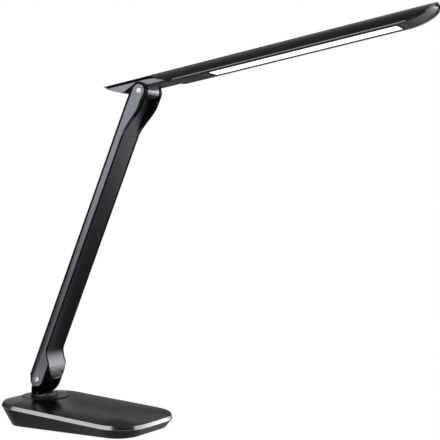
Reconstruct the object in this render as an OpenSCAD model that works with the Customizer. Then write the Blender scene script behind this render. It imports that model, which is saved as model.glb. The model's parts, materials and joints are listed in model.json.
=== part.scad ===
// Folding LED desk lamp: a wedge base with a swivel disc, a flat leaning arm and a slim
// half-round lamp head. The head folds down flush against the front of the arm, and the arm
// folds forward until both lie level over the base.
// Frame: origin on the table at the swivel axis, +X forward, +Z up, millimetres.

/* [Stance] */
// Forward lean of the arm away from upright, in degrees
arm_lean = 23.75; // [15:0.25:35]
// Upward tilt of the head above level, in degrees
head_tilt = 8; // [-5:1:20]

/* [Base] */
// Length of the base along X
base_l = 201; // [190:1:230]
// Width of the base across Y
base_w = 128; // [116:1:144]
// Distance from the rear edge of the base to the swivel axis
swivel_setback = 36; // [35:0.5:40]
// Corner radius of the base in plan
base_corner_r = 38; // [30:1:46]
// How far the front edge bows forward at its middle
front_bow = 2; // [1:0.5:4]
// Height of the rim above the table at the rear
rim_rear_z = 25.7; // [25:0.1:26]
// Height of the rim above the table at the front
rim_front_z = 11.4; // [10:0.2:13]
// How far the foot of the side walls is set in from the rim
wall_inset = 12.4; // [9:0.2:15]
// How far the foot of the front wall is set in from the rim
front_inset = 7.4; // [5:0.2:10]
// Wall thickness of the two base shells
base_wall = 2; // [1.6:0.1:2.4]
// Height of the chamfered strip around the top cover
strip_h = 4.5; // [3.5:0.1:5]
// How far the chamfered strip leans in
strip_in = 2; // [1.4:0.1:3]
// Rise of the domed top above the strip
dome_rise = 5.4; // [4:0.1:5.6]
// Thickness of the rubber pad under the base
foot_h = 1.5; // [1:0.1:2]
// Thickness of the bottom plate
plate_t = 1.5; // [1.2:0.1:2]

/* [Base fittings] */
// Thickness of the cast weight
weight_t = 5.5; // [4:0.1:6]
// Radius of the screw posts
post_r = 4; // [3.5:0.1:5]
// Shank radius of the base screws
base_screw_r = 1.5; // [1.2:0.1:1.8]
// Thickness of the circuit boards
board_t = 1.6; // [1.2:0.1:2]
// Bore radius of the power socket
socket_r = 3.2; // [2.9:0.05:3.4]
// Height of the power socket axis above the table
socket_z = 11; // [10.5:0.1:12]

/* [Swivel] */
// Radius of the swivel disc
disc_r = 29.5; // [26:0.5:30.5]
// Height of the top of the swivel disc above the table
disc_top_z = 32.2; // [32:0.1:32.6]
// Thickness of the swivel disc
disc_t = 2.4; // [2:0.1:2.6]
// Outer radius of the hollow swivel bolt
bolt_r = 8.45; // [7.5:0.05:9]
// Radius of the cable way through the swivel bolt
cable_way_r = 5; // [4:0.1:6]
// Radius of the neck that carries the arm
neck_r = 16; // [15:0.1:17]
// How far the neck sits behind the swivel axis
neck_back = 2; // [1:0.1:3]
// Height of the lower pivot axis above the table
pivot_z = 53.5; // [53:0.1:56]

/* [Arm] */
// Distance between the two pivot axes
arm_l = 380; // [376:1:420]
// Width of the arm across Y
arm_w = 34.5; // [33:0.1:36]
// Distance from the pivot line to the rear face of the arm
arm_rear = 13.2; // [12.4:0.1:14]
// Distance from the pivot line back to the front face of the arm
arm_front_back = 1.5; // [0.8:0.1:2.5]
// Radius of the ball about the lower pivot, at its middle
ball_r = 18.4; // [18.2:0.1:18.8]
// Reach of the front cover in front of the pivot at its lower lip
lip_reach = 15.5; // [15:0.1:16]
// Radius of the upper end of the arm
top_end_r = 10.5; // [10.2:0.1:10.8]
// Length over which the lower end swells out of the arm
low_swell = 42; // [38:1:46]
// Length over which the upper end swells out of the arm
top_swell = 56; // [50:1:60]
// Wall thickness of each upper fork cheek
cheek_t = 5; // [4.6:0.1:5.4]
// Width of the slot in the ball
ball_slot_w = 12.2; // [11.6:0.2:13]
// Thickness of the side panels and the front cover
skin_t = 1.2; // [1:0.1:1.4]
// Width of the dark border around each side panel
panel_border = 4; // [3.7:0.1:4.4]
// Radius of the two pivot pins
pin_r = 3; // [2.6:0.1:3.2]
// Radius of the pin caps
cap_r = 3.3; // [3.2:0.1:3.8]

/* [Head] */
// Outer radius of the half-round head shell
shell_r = 17.5; // [17:0.1:18]
// Wall thickness of the head shell
shell_t = 2; // [1.8:0.1:2.2]
// Height of the shell crown above the head pivot
crown_h = 18.55; // [18.2:0.05:18.8]
// Height of the shell rim above the head pivot
rim_h = 2.65; // [2.4:0.05:3]
// Distance from the front end of the light panel to the front tip
nose_l = 42; // [41:1:50]
// Distance from the head pivot to the tail tip
head_tail = 56; // [50:1:60]
// Length of the scooped cut at the front of the shell
front_scoop = 40; // [30:1:41]
// Distance from the head pivot to the rear end of the light panel
panel_start = 90; // [84:0.5:95]
// Length of the light panel
panel_l = 226; // [200:1:250]
// Width of the light panel
panel_w = 21.8; // [20:0.2:23]

/* [Clearances] */
// Radial running clearance of pins and the swivel bolt
run_gap = 0.05; // [0.03:0.01:0.09]
// Gap between parts of one assembly that drop into each other
seat_gap = 0.1; // [0.06:0.01:0.14]
// Gap between faces that slide past each other
slide_gap = 0.3; // [0.25:0.01:0.35]

/* [Hidden] */

$fn = 72;
hull_fn = 48;
thin = 0.01;
over = 1;

// Base
rim_slope = atan((rim_rear_z - rim_front_z) / base_l);
rim_l = base_l / cos(rim_slope);
base_front = base_l - swivel_setback;
bow_r = base_w / 2 - 4;
least_r = 4;
dome_run = base_w / 2 - strip_in;
dome_runs = [for (share = [0.1, 0.24, 0.42, 0.66, 0.93]) strip_in + share * dome_run];
plate_z = foot_h + plate_t;
plate_inset = base_wall + seat_gap;
post_in = [16, 28];
front_post_back = 20;
rear_post_x = 12;
rear_post = [rear_post_x, base_w / 2 - wall_inset - post_in[0]];
front_post = [base_front - front_inset - front_post_back, base_w / 2 - wall_inset - post_in[1]];
pilot_l = 8;
screw_play = 0.5;
screw_head_h = 0.8;
pad_inset = 7;
weight_gap = 3;
weight_clear = 13;
weight_start = bolt_r + weight_clear;
weight_end = front_post[0] - post_r - weight_gap;
weight_side = 6;
weight_w = base_w - 2 * (wall_inset + base_wall + weight_side);
weight_step_l = 58;
weight_step_h = 6;
board_l = 34;
board_w = 76;
board_x = 102;
board_h = 1.2;
chip_w = 9;
chip_h = 2;
touch_pitch = 26;
touch_r = 4;
touch_wall = 1;
touch_play = 0.8;
standoff_r = 2.5;
board_post_y = board_w / 2 - standoff_r - 1;

// Power socket
socket_face_x = -swivel_setback + wall_inset * (rim_rear_z - socket_z) / (rim_rear_z - foot_h) - 0.6;
socket_nose_r = socket_r + 1.4;
socket_nose_l = base_wall + 4.5;
socket_body = [10.5, 12, 10];
socket_depth = 11;
socket_pin_r = 1;
socket_pin_recess = 5;

// Swivel
pocket_z = disc_top_z - disc_t - slide_gap;
seat_t = 4;
seat_z = pocket_z - seat_t;
seat_r = disc_r + 3.5;
washer_r = bolt_r + 5.5;
washer_t = 1.2;
washer_gap = 0.2;
spring_t = 1.3;
nut_t = 3.6;
nut_r = bolt_r + 4.5;
bolt_head_r = bolt_r + 2.6;
bolt_head_t = 1.2;
nut_z = seat_z - washer_gap - washer_t - spring_t - nut_t;
bolt_low_z = nut_z - 1.5;
stop_r = disc_r - 5.5;
stop_peg_r = 1.5;
stop_peg_h = 1.4;
stop_swing = 90;
neck_foot_h = 1.2;
neck_foot_out = 0.8;

// Arm
slot_half = arm_w / 2 - cheek_t;
disc_spring_t = 0.5;
washer_play = 0.1;
tongue_half = slot_half - disc_spring_t - 2 * washer_play;
low_slot_half = ball_slot_w / 2;
low_tongue_half = low_slot_half - disc_spring_t - 2 * washer_play;
low_barrel_r = 7.4;
top_barrel_r = top_end_r - 1.1;
post_half = 7;
saddle_r = ball_r + 0.8;
lip_s = 7.7;
shoulder_r = sqrt(ball_r * ball_r - lip_s * lip_s);
shoulder_out = shoulder_r - lip_reach;
neck_play = 0.4;
neck_front_z = pivot_z - shoulder_r - neck_play;
slot_low_s = lip_s - slide_gap;
slot_top_s = 5;
slot_step = 3;
slot_low_back = 2.6;
top_shift = 0.7;
end_taper = 25;
front_border = 1.5;
side_border = 0.6;
cheek_border = panel_border - 1.2;
edge_r = panel_border - 1.4;
bulb_blend = 36;
bulb_flare = 8.3;
bulb_in = 1.75;
bulb_r = ball_r + bulb_in;
flank_in = 1.15;
flank_r = bulb_r - flank_in;
low_full = 13;
top_full = 10;
cover_half = arm_w / 2 - front_border;
mask_back = 8;
lip_top = lip_s + cover_half;
low_panel_r = 8;
channel_half = 8;
channel_wall = 2.2;
channel_floor = arm_rear - channel_wall;
channel_start = 24;
channel_end = 16;
cable_play = 1;
cable_w = 6;
cable_t = 1.2;
cap_proud = 0.8;
curve_steps = 18;
arc_steps = 6;
side_face = arm_w / 2;

// Head
head_front = panel_start + panel_l + nose_l;
shell_mid = crown_h - shell_r;
inner_r = shell_r - shell_t;
fill_r = inner_r - seat_gap;
scoop_start = 47;
scoop_end = 6;
leaf_edge = crown_h - 2.5;
leaf_tip = crown_h - shell_t;
cover_in = 0.3;
cover_t = 1.6;
cover_front = head_front - 2;
tail_root = 22.5;
tail_root_h = rim_h + 0.5;
tail_in = 0.5;
root_back = 5;
root_end = scoop_end + 8;
root_rise = 2;
cheek_room = top_end_r + top_shift + 1.1;
tongue_front = scoop_start + 1;
tongue_h = rim_h + 0.4;
guide_t = 3;
guide_half = panel_w / 2;
guide_over = 2;
reflector_t = 0.3;
strip_t = 0.8;
spreader_t = 2;
spreader_half = 11;
spreader_in = 8;
spreader_start = panel_start + spreader_in;
spreader_l = panel_l - 2 * spreader_in;
head_screw_r = 1.25;
boss_r = 3;
boss_count = 4;
boss_end = 12;
boss_pilot_l = 4;
cover_low = rim_h + cover_in;
guide_z = cover_low + cover_t;
reflector_z = guide_z + guide_t;
spreader_z = reflector_z + reflector_t;
boss_z = spreader_z + spreader_t;

// ---- Curves ----

// Smooth step from 0 to 1
function smooth(t) = let (u = max(0, min(1, t))) u * u * (3 - 2 * u);

// Height of the domed top above the rim plane at a distance e in from the rim
function dome_h(e) = strip_h + dome_rise * (1 - pow(1 - min(1, (e - strip_in) / dome_run), 2));

// Height of the rim above the table at x
function rim_z(x) = rim_rear_z - (x + swivel_setback) * tan(rim_slope);

// Share of the swelling at the lower and the upper end of the arm, 0 along its middle
function low_bulge(s) = smooth((low_swell - s) / (low_swell - low_full));
function top_bulge(s) = smooth((s - arm_l + top_swell) / (top_swell - top_full));

// Front face of the arm, measured forward from the pivot line: the front cover at the
// lower end, the cheeks at the upper end
function arm_front(s) =
    -arm_front_back
    + (lip_reach + arm_front_back) * low_bulge(s) / low_bulge(lip_s)
    + (top_end_r - top_shift + arm_front_back) * top_bulge(s);

function cover_face(s) = arm_front(max(lip_s, min(s, arm_l - top_swell)));

// Shoulder beside the lip, which runs out onto the ball
function shoulder(s) = arm_front(s) + shoulder_out * smooth((lip_top - s) / (lip_top - lip_s));

// Rear face of the arm
function arm_back(s) =
    -arm_rear + (arm_rear - top_end_r - top_shift) * max(0, 1 - (arm_l - s) / end_taper);

// Front and rear edge of the side panels
function panel_front(s) =
    min(low_panel_r, arm_front(s) - side_border)
    - (cheek_border - side_border) * top_bulge(s);
function panel_back(s) =
    arm_back(s) + panel_border
    + (arm_rear - panel_border - low_panel_r) * max(0, 1 - s / bulb_blend)
    - (panel_border - cheek_border) * max(0, 1 - (arm_l - s) / end_taper);

// Stations along the arm: close together where the ends swell
function low_stations() = [for (i = [0:curve_steps]) lip_s + (low_swell - lip_s) * i / curve_steps];
function top_stations() =
    [for (i = [0:curve_steps]) arm_l - top_swell + (top_swell - top_full) * i / curve_steps];

// Lower edge of the head shell above the pivot, along the head
function shell_edge(s) =
    s < scoop_end ? leaf_edge + (leaf_tip - leaf_edge) * (scoop_end - s) / (scoop_end + head_tail)
    : s < scoop_start ? rim_h + (leaf_edge - rim_h) * smooth((scoop_start - s) / (scoop_start - scoop_end))
    : s < head_front - front_scoop ? rim_h
    : rim_h + (crown_h - rim_h)
        * (1 - sqrt(max(0, 1 - pow((s - head_front + front_scoop) / front_scoop, 2))));

// Lower edge of the tail, from its root behind the pivot to the tip
function tail_edge(s) =
    tail_root_h
    + (crown_h - shell_t - tail_root_h) * pow((-s - tail_root) / (head_tail - tail_root), 1.5);

function head_stations() = concat(
    [for (i = [0:curve_steps]) scoop_end + (scoop_start - scoop_end) * i / curve_steps],
    [for (i = [0:curve_steps]) head_front - front_scoop * cos(90 * i / curve_steps)]
);

// ---- Frames ----

// Rim plane of the base: x runs forward from the rear edge, z stands off the plane
module on_rim() {
    translate([-swivel_setback, 0, rim_rear_z])
        rotate([0, rim_slope, 0])
            children();
}

// Arm: z runs up the pivot line, x points to the front face
module on_arm() {
    translate([0, 0, pivot_z])
        rotate([0, arm_lean, 0])
            children();
}

// Head: x runs from the pivot to the tip, z points to the crown
module on_head() {
    translate([arm_l * sin(arm_lean), 0, pivot_z + arm_l * cos(arm_lean)])
        rotate([0, -head_tilt, 0])
            children();
}

// A side outline in x and z, given thickness across y
module across(width) {
    rotate([90, 0, 0])
        linear_extrude(width, center = true)
            children();
}

// A cylinder along y, centred on the axis
module cross_cylinder(r, width) {
    rotate([90, 0, 0])
        cylinder(r = r, h = width, center = true);
}

module mirrored_y() {
    children();
    mirror([0, 1, 0]) children();
}

// ---- Base ----

// Thin rounded slab parallel to the rim plane, set in by e and lifted by h
module rim_slab(e, h) {
    r = max(base_corner_r - e, least_r);
    nose_r = max(bow_r - e, least_r);
    on_rim() translate([0, 0, h - thin]) {
        for (x = [e + r, rim_l - e - r], side = [-1, 1])
            translate([x, side * (base_w / 2 - e - r), 0])
                cylinder(r = r, h = thin, $fn = hull_fn);
        translate([rim_l + front_bow - e - nose_r, 0, 0])
            cylinder(r = nose_r, h = thin, $fn = 2 * hull_fn);
    }
}

// Thin rounded slab at the foot of the walls, set in by e
module foot_slab(e, z) {
    r = max(base_corner_r - wall_inset - e, least_r);
    half = base_w / 2 - wall_inset - e;
    for (x = [-swivel_setback + wall_inset + e + r, base_front - front_inset - e - r], side = [-1, 1])
        translate([x, side * (half - r), z])
            cylinder(r = r, h = thin, $fn = hull_fn);
}

// Domed outer body above the rim plane
module dome_body() {
    hull() {
        rim_slab(0, thin);
        rim_slab(strip_in, strip_h);
        for (run = dome_runs)
            rim_slab(run, dome_h(run));
    }
}

// Hollow under the dome
module dome_hollow() {
    hull() {
        rim_slab(base_wall, -over);
        rim_slab(strip_in + base_wall, strip_h - base_wall);
        for (run = [dome_runs[1], dome_runs[3]])
            rim_slab(run + base_wall, dome_h(run) - base_wall);
    }
}

// Centres of the four screw posts
module at_posts() {
    for (post = [rear_post, front_post], side = [-1, 1])
        translate([post[0], side * post[1], 0])
            children();
}

// Swivel seat, screw posts and board posts that hang from the dome
module cover_fittings() {
    standoff_top = dome_h(base_w / 2 - board_post_y) - base_wall / 2;
    translate([0, 0, seat_z]) cylinder(r = seat_r, h = seat_t);
    for (post = [rear_post, front_post], side = [-1, 1]) {
        edge = min(base_w / 2 - post[1], base_front - post[0]);
        top = rim_z(post[0]) + dome_h(edge) - base_wall / 2;
        translate([post[0], side * post[1], plate_z]) cylinder(r = post_r, h = top - plate_z);
    }
    on_rim()
        for (side = [-1, 1])
            translate([board_x + swivel_setback, side * board_post_y, board_h + board_t])
                cylinder(r = standoff_r, h = standoff_top - board_h - board_t);
}

module base_top_cover() {
    color([0.09, 0.09, 0.10]) difference() {
        union() {
            difference() {
                dome_body();
                dome_hollow();
            }
            cover_fittings();
        }
        translate([0, 0, pocket_z]) cylinder(r = disc_r + slide_gap, h = disc_t + 4 * over);
        translate([0, 0, seat_z - over]) cylinder(r = bolt_r + run_gap, h = seat_t + 2 * over);
        translate([0, 0, pocket_z - stop_peg_h - slide_gap]) stop_groove();
        at_posts() translate([0, 0, plate_z - over]) cylinder(r = base_screw_r, h = pilot_l + over);
    }
}

// Arc groove in the swivel seat that ends the swing of the disc's peg
module stop_groove() {
    reach = stop_swing + asin((stop_peg_r + slide_gap) / stop_r);
    rotate([0, 0, -reach])
        rotate_extrude(angle = 2 * reach)
            translate([stop_r - stop_peg_r - slide_gap, 0])
                square([2 * (stop_peg_r + slide_gap), stop_peg_h + slide_gap + over]);
}

module base_housing() {
    color([0.13, 0.13, 0.15]) difference() {
        hull() {
            foot_slab(0, foot_h);
            rim_slab(0, 0);
        }
        hull() {
            foot_slab(base_wall, foot_h - thin);
            rim_slab(base_wall, 2 * thin);
        }
        translate([-swivel_setback, 0, socket_z])
            rotate([0, 90, 0])
                cylinder(r = socket_nose_r + seat_gap, h = swivel_setback);
    }
}

// Flat plate of the foot outline, set in by e, from height z up
module foot_plate(e, z, t) {
    r = base_corner_r - wall_inset - e;
    x0 = -swivel_setback + wall_inset + e;
    x1 = base_front - front_inset - e;
    half = base_w / 2 - wall_inset - e;
    translate([0, 0, z]) {
        translate([x0 + r, -half, 0]) cube([x1 - x0 - 2 * r, 2 * half, t]);
        translate([x0, r - half, 0]) cube([x1 - x0, 2 * half - 2 * r, t]);
        for (x = [x0 + r, x1 - r], side = [-1, 1])
            translate([x, side * (half - r), 0]) cylinder(r = r, h = t);
    }
}

module bottom_plate() {
    color([0.12, 0.12, 0.13]) difference() {
        foot_plate(plate_inset, foot_h, plate_t);
        at_posts() {
            cylinder(r = base_screw_r + seat_gap, h = plate_z + over);
            cylinder(r = 2 * base_screw_r + seat_gap, h = foot_h + screw_head_h);
        }
    }
}

// Cast slab on the bottom plate that keeps the lamp upright, stepped up at the rear
module base_weight() {
    color([0.30, 0.30, 0.31])
        translate([weight_start, -weight_w / 2, plate_z]) {
            cube([weight_end - weight_start, weight_w, weight_t]);
            cube([weight_step_l, weight_w, weight_t + weight_step_h]);
        }
}

// Anti-slip pad the lamp stands on
module rubber_pad() {
    color([0.06, 0.06, 0.06]) foot_plate(pad_inset, 0, foot_h);
}

// Screws from below through the bottom plate into the posts of the top cover
module bottom_screws() {
    color([0.35, 0.35, 0.36])
        at_posts() translate([0, 0, foot_h]) {
            cylinder(r = 2 * base_screw_r, h = screw_head_h);
            cylinder(r = base_screw_r - run_gap, h = plate_t + pilot_l - screw_play);
        }
}

module control_board() {
    color([0.05, 0.28, 0.16])
        on_rim() {
            translate([board_x + swivel_setback - board_l / 2, -board_w / 2, board_h])
                cube([board_l, board_w, board_t]);
            translate([board_x + swivel_setback - chip_w / 2, -chip_w / 2, board_h - chip_h])
                cube([chip_w, chip_w, chip_h]);
        }
}

// Coiled touch electrodes between the board and the underside of the top cover
module touch_springs() {
    top = dome_h(dome_run / 2) - base_wall - touch_play;
    color([0.72, 0.56, 0.26])
        on_rim()
            for (k = [-1:1])
                translate([board_x + swivel_setback, k * touch_pitch, board_h + board_t])
                    difference() {
                        cylinder(r = touch_r, h = top - board_h - board_t);
                        translate([0, 0, -over])
                            cylinder(r = touch_r - touch_wall, h = top);
                    }
}

module power_socket() {
    color([0.10, 0.10, 0.10])
        translate([socket_face_x, 0, socket_z]) rotate([0, 90, 0]) {
            difference() {
                union() {
                    cylinder(r = socket_nose_r, h = socket_nose_l);
                    translate([-socket_body[2] / 2, -socket_body[1] / 2, socket_nose_l])
                        cube([socket_body[2], socket_body[1], socket_body[0]]);
                }
                translate([0, 0, -over]) cylinder(r = socket_r, h = socket_depth + over);
            }
            translate([0, 0, socket_pin_recess])
                cylinder(r = socket_pin_r, h = socket_depth - socket_pin_recess + over);
        }
}

// ---- Swivel ----

module swivel_disc() {
    bevel = 0.5;
    color([0.10, 0.10, 0.11]) {
        rotate_extrude()
            polygon([
                [bolt_r + seat_gap, disc_top_z - disc_t],
                [disc_r, disc_top_z - disc_t],
                [disc_r, disc_top_z - bevel],
                [disc_r - bevel, disc_top_z],
                [bolt_head_r + seat_gap, disc_top_z],
                [bolt_head_r + seat_gap, disc_top_z - bolt_head_t],
                [bolt_r + seat_gap, disc_top_z - bolt_head_t]
            ]);
        translate([stop_r, 0, disc_top_z - disc_t - stop_peg_h])
            cylinder(r = stop_peg_r, h = stop_peg_h + over);
    }
}

module swivel_bolt() {
    color([0.62, 0.62, 0.64])
        rotate_extrude()
            polygon([
                [cable_way_r, bolt_low_z],
                [bolt_r, bolt_low_z],
                [bolt_r, disc_top_z - bolt_head_t],
                [bolt_head_r, disc_top_z - bolt_head_t],
                [bolt_head_r, disc_top_z],
                [cable_way_r, disc_top_z]
            ]);
}

// Flat ring on the swivel bolt
module bolt_ring(r, z, t) {
    translate([0, 0, z]) difference() {
        cylinder(r = r, h = t);
        translate([0, 0, -over]) cylinder(r = bolt_r + seat_gap, h = t + 2 * over);
    }
}

module swivel_washer() {
    color([0.45, 0.45, 0.40]) bolt_ring(washer_r, seat_z - washer_gap - washer_t, washer_t);
}

module swivel_spring() {
    color([0.55, 0.55, 0.57]) bolt_ring(washer_r - 1, nut_z + nut_t, spring_t);
}

module swivel_nut() {
    color([0.66, 0.66, 0.68])
        translate([0, 0, nut_z]) difference() {
            cylinder(r = nut_r, h = nut_t, $fn = 6);
            translate([0, 0, -over]) cylinder(r = bolt_r + run_gap, h = nut_t + 2 * over);
        }
}

// Short round neck with a saddle that the ball of the arm turns in
module neck_collar() {
    color([0.20, 0.20, 0.22]) difference() {
        translate([-neck_back, 0, disc_top_z]) union() {
            cylinder(r = neck_r, h = pivot_z - disc_top_z);
            cylinder(r = neck_r + neck_foot_out, h = neck_foot_h);
        }
        translate([0, 0, pivot_z]) cross_cylinder(saddle_r, 4 * neck_r);
        translate([0, -2 * neck_r, neck_front_z]) cube([2 * neck_r, 4 * neck_r, pivot_z]);
        translate([-post_half - seat_gap, -low_tongue_half - seat_gap, disc_top_z - over])
            cube([2 * (post_half + seat_gap), 2 * (low_tongue_half + seat_gap), pivot_z]);
    }
}

// Upright tongue in the slot of the ball, with the lower pivot barrel
module hinge_post() {
    color([0.07, 0.07, 0.07]) difference() {
        translate([0, 0, pivot_z]) union() {
            cross_cylinder(low_barrel_r, 2 * low_tongue_half);
            translate([-post_half, -low_tongue_half, disc_top_z - pivot_z])
                cube([2 * post_half, 2 * low_tongue_half, pivot_z - disc_top_z]);
        }
        translate([0, 0, pivot_z]) cross_cylinder(pin_r + run_gap, arm_w);
        translate([0, 0, disc_top_z - over]) cylinder(r = 2, h = pivot_z - disc_top_z - pin_r - 2);
    }
}

// ---- Arm ----

// Side outline of the arm; the ball itself bounds the lower end
module arm_outline() {
    shoulders = [for (s = low_stations()) if (s < lip_top) [shoulder(s), s]];
    faces = [for (s = concat(low_stations(), top_stations())) if (s >= lip_top) [arm_front(s), s]];
    rear = [for (s = [arm_l, arm_l - end_taper]) [arm_back(s), s]];
    bottom = [[-arm_rear, -ball_r - over], [ball_r + over, -ball_r - over], [ball_r + over, 0]];
    arc = [for (i = [0:arc_steps - 1]) let (s = lip_s * i / arc_steps) [sqrt(ball_r * ball_r - s * s), s]];
    polygon(concat(bottom, arc, shoulders, faces, [[arm_front(arm_l), arm_l]], rear));
    translate([-top_shift, arm_l]) circle(r = top_end_r);
}

// Outline of a side panel, grown by e
module panel_outline(e) {
    stations = concat([0], low_stations(), top_stations());
    front = [for (s = stations) [panel_front(s) + e, s]];
    top = [[arm_front(arm_l) - cheek_border + e, arm_l]];
    rear = [for (s = [arm_l, arm_l - end_taper, bulb_blend, 0]) [panel_back(s) - e, s]];
    polygon(concat(front, top, rear));
    circle(r = low_panel_r + e);
    translate([-top_shift, arm_l]) circle(r = top_end_r - cheek_border + e);
}

// Cross-section of the arm up to a front limit, with its two rear edges rounded
module arm_section(front) {
    r = edge_r;
    half = arm_w / 2;
    translate([-arm_rear + r, -half]) square([front + arm_rear - r, arm_w]);
    translate([-arm_rear, -half + r]) square([front + arm_rear, arm_w - 2 * r]);
    for (side = [-1, 1])
        translate([-arm_rear + r, side * (half - r)]) circle(r = r);
}

// Ball at the lower pivot that flares up into the section of the arm
module low_bulb() {
    rise = bulb_blend + over;
    rotate([90, 0, 0])
        rotate_extrude()
            intersection() {
                translate([-bulb_in, 0]) circle(r = bulb_r);
                translate([0, -arm_w]) square([2 * ball_r, 2 * arm_w]);
            }
    translate([-bulb_in, 0, 0]) cylinder(r = bulb_r, h = rise);
    intersection() {
        cylinder(r1 = flank_r, r2 = flank_r + rise * tan(bulb_flare), h = rise);
        translate([-2 * ball_r, -2 * ball_r, 0]) cube([2 * ball_r, 4 * ball_r, 2 * rise]);
    }
}

// Front view mask of the front cover: a strip with a round lower end
module cover_mask(half, top) {
    rotate([90, 0, 90])
        translate([0, 0, -mask_back])
            linear_extrude(mask_back + 2 * ball_r) {
                translate([0, lip_top]) circle(r = half);
                translate([-half, lip_top]) square([2 * half, top - lip_top]);
            }
}

// Everything behind the face of the front cover, set in by e
module behind_cover(e) {
    face = [for (s = concat([-ball_r], low_stations(), [arm_l])) [cover_face(s) - e, s]];
    intersection() {
        across(2 * arm_w) polygon(concat(face, [[-2 * arm_rear, arm_l], [-2 * arm_rear, -ball_r]]));
        union() {
            translate([-bulb_in, 0, -ball_r]) cylinder(r = bulb_r - e, h = ball_r + bulb_blend);
            translate([-2 * arm_rear, -arm_w, bulb_blend]) cube([4 * arm_rear, 2 * arm_w, arm_l]);
        }
    }
}

module arm_spine() {
    color([0.08, 0.08, 0.09]) on_arm() difference() {
        intersection() {
            across(arm_w) arm_outline();
            translate([0, 0, -2 * ball_r]) linear_extrude(2 * arm_l) arm_section(2 * ball_r);
            union() {
                low_bulb();
                translate([-2 * ball_r, -arm_w, bulb_blend])
                    cube([4 * ball_r, 2 * arm_w, 2 * arm_l]);
            }
        }
        low_slot();
        // slot for the upper barrel
        translate([0, 0, arm_l]) cross_cylinder(top_barrel_r + slide_gap, 2 * slot_half);
        translate([-2 * arm_rear, -slot_half, arm_l - slot_top_s])
            cube([4 * arm_rear, 2 * slot_half, 4 * top_end_r]);
        translate([-2 * arm_rear, -slot_half, arm_l - slot_top_s - slot_step])
            cube([2 * (arm_rear - slot_step), 2 * slot_half, 4 * top_end_r]);
        // recess that the head folds into
        translate([-arm_front_back, -slot_half, arm_l - top_swell])
            cube([arm_rear + top_end_r, 2 * slot_half, top_swell]);
        // seats of the front cover and the side panels
        difference() {
            cover_mask(cover_half + seat_gap, arm_l - top_swell);
            behind_cover(skin_t);
        }
        mirrored_y()
            translate([0, side_face - skin_t / 2 + over / 2, 0])
                across(skin_t + over) panel_outline(seat_gap);
        // cable channel
        translate([-channel_floor, -channel_half, channel_start])
            cube([
                channel_floor - arm_front_back - skin_t / 2,
                2 * channel_half,
                arm_l - channel_start - channel_end
            ]);
        // pin bores
        cross_cylinder(pin_r + seat_gap / 4, 2 * arm_w);
        translate([0, 0, arm_l]) cross_cylinder(pin_r + seat_gap / 4, 2 * arm_w);
    }
}

// Slot in the ball that lets the arm swing over the hinge post
module low_slot() {
    back = post_half + slide_gap;
    cross_cylinder(low_barrel_r + slide_gap, 2 * low_slot_half);
    across(2 * low_slot_half)
        polygon([
            [2 * ball_r, -2 * ball_r], [2 * ball_r, slot_low_s], [0, slot_low_s],
            [-back, slot_low_back], [-arm_rear - over, -ball_r], [-arm_rear - over, -2 * ball_r]
        ]);
}

// Flat metal panel let into one side of the arm
module side_panel() {
    translate([0, -side_face + skin_t / 2, 0])
        across(skin_t) difference() {
            panel_outline(0);
            for (s = [0, arm_l])
                translate([0, s]) circle(r = cap_r + seat_gap);
        }
}

module near_panel() {
    color([0.45, 0.46, 0.50]) on_arm() side_panel();
}

module far_panel() {
    color([0.45, 0.46, 0.50]) on_arm() mirror([0, 1, 0]) side_panel();
}

module front_cover() {
    color([0.22, 0.22, 0.24]) on_arm() intersection() {
        difference() {
            behind_cover(0);
            behind_cover(skin_t);
        }
        cover_mask(cover_half, arm_l - top_swell - seat_gap);
    }
}

// Pivot pin at height s on the arm, between the caps
module pivot_pin(s) {
    color([0.70, 0.70, 0.72]) on_arm()
        translate([0, 0, s]) cross_cylinder(pin_r, 2 * (side_face - skin_t));
}

module lower_pin() {
    pivot_pin(0);
}

module upper_pin() {
    pivot_pin(arm_l);
}

// Domed caps over the ends of both pins
module pin_caps() {
    dome_r = (cap_r * cap_r + cap_proud * cap_proud) / (2 * cap_proud);
    color([0.85, 0.85, 0.87]) on_arm() mirrored_y()
        for (s = [0, arm_l])
            translate([0, skin_t - side_face, s])
                rotate([90, 0, 0]) {
                    cylinder(r = cap_r, h = skin_t);
                    translate([0, 0, skin_t]) intersection() {
                        cylinder(r = cap_r, h = cap_proud);
                        translate([0, 0, cap_proud - dome_r]) sphere(r = dome_r);
                    }
                }
}

// Two friction washers on a pin, in the play beside a tongue of the given half width
module friction_washers(s, r, half) {
    color([0.78, 0.74, 0.62]) on_arm() translate([0, 0, s]) mirrored_y()
        translate([0, half + washer_play + disc_spring_t / 2, 0]) difference() {
            cross_cylinder(r, disc_spring_t);
            cross_cylinder(pin_r + seat_gap / 4, 2 * disc_spring_t);
        }
}

module lower_washers() {
    friction_washers(0, low_barrel_r - 1, low_tongue_half);
}

module upper_washers() {
    friction_washers(arm_l, top_barrel_r - 2, tongue_half);
}

// Flat lead that lies in the channel of the spine
module arm_cable() {
    color([0.15, 0.15, 0.15]) on_arm()
        translate([-channel_floor, -cable_w / 2, channel_start + cable_play])
            cube([cable_t, cable_w, arm_l - channel_start - channel_end - 2 * cable_play]);
}

// ---- Head ----

// Everything above the lower edge of the shell, lifted by e, between two stations
module head_above(e, from, to) {
    inner = [for (s = head_stations()) if (s > from && s < to) s];
    stations = concat([from], inner, [to]);
    low = [for (s = stations) [s, shell_edge(s) + e]];
    across(4 * shell_r) polygon(concat(low, [[to, 2 * crown_h], [from, 2 * crown_h]]));
}

// Round bar along the head, coaxial with the shell
module head_bar(r, from, to) {
    translate([from, 0, shell_mid])
        rotate([0, 90, 0])
            cylinder(r = r, h = to - from);
}

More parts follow.
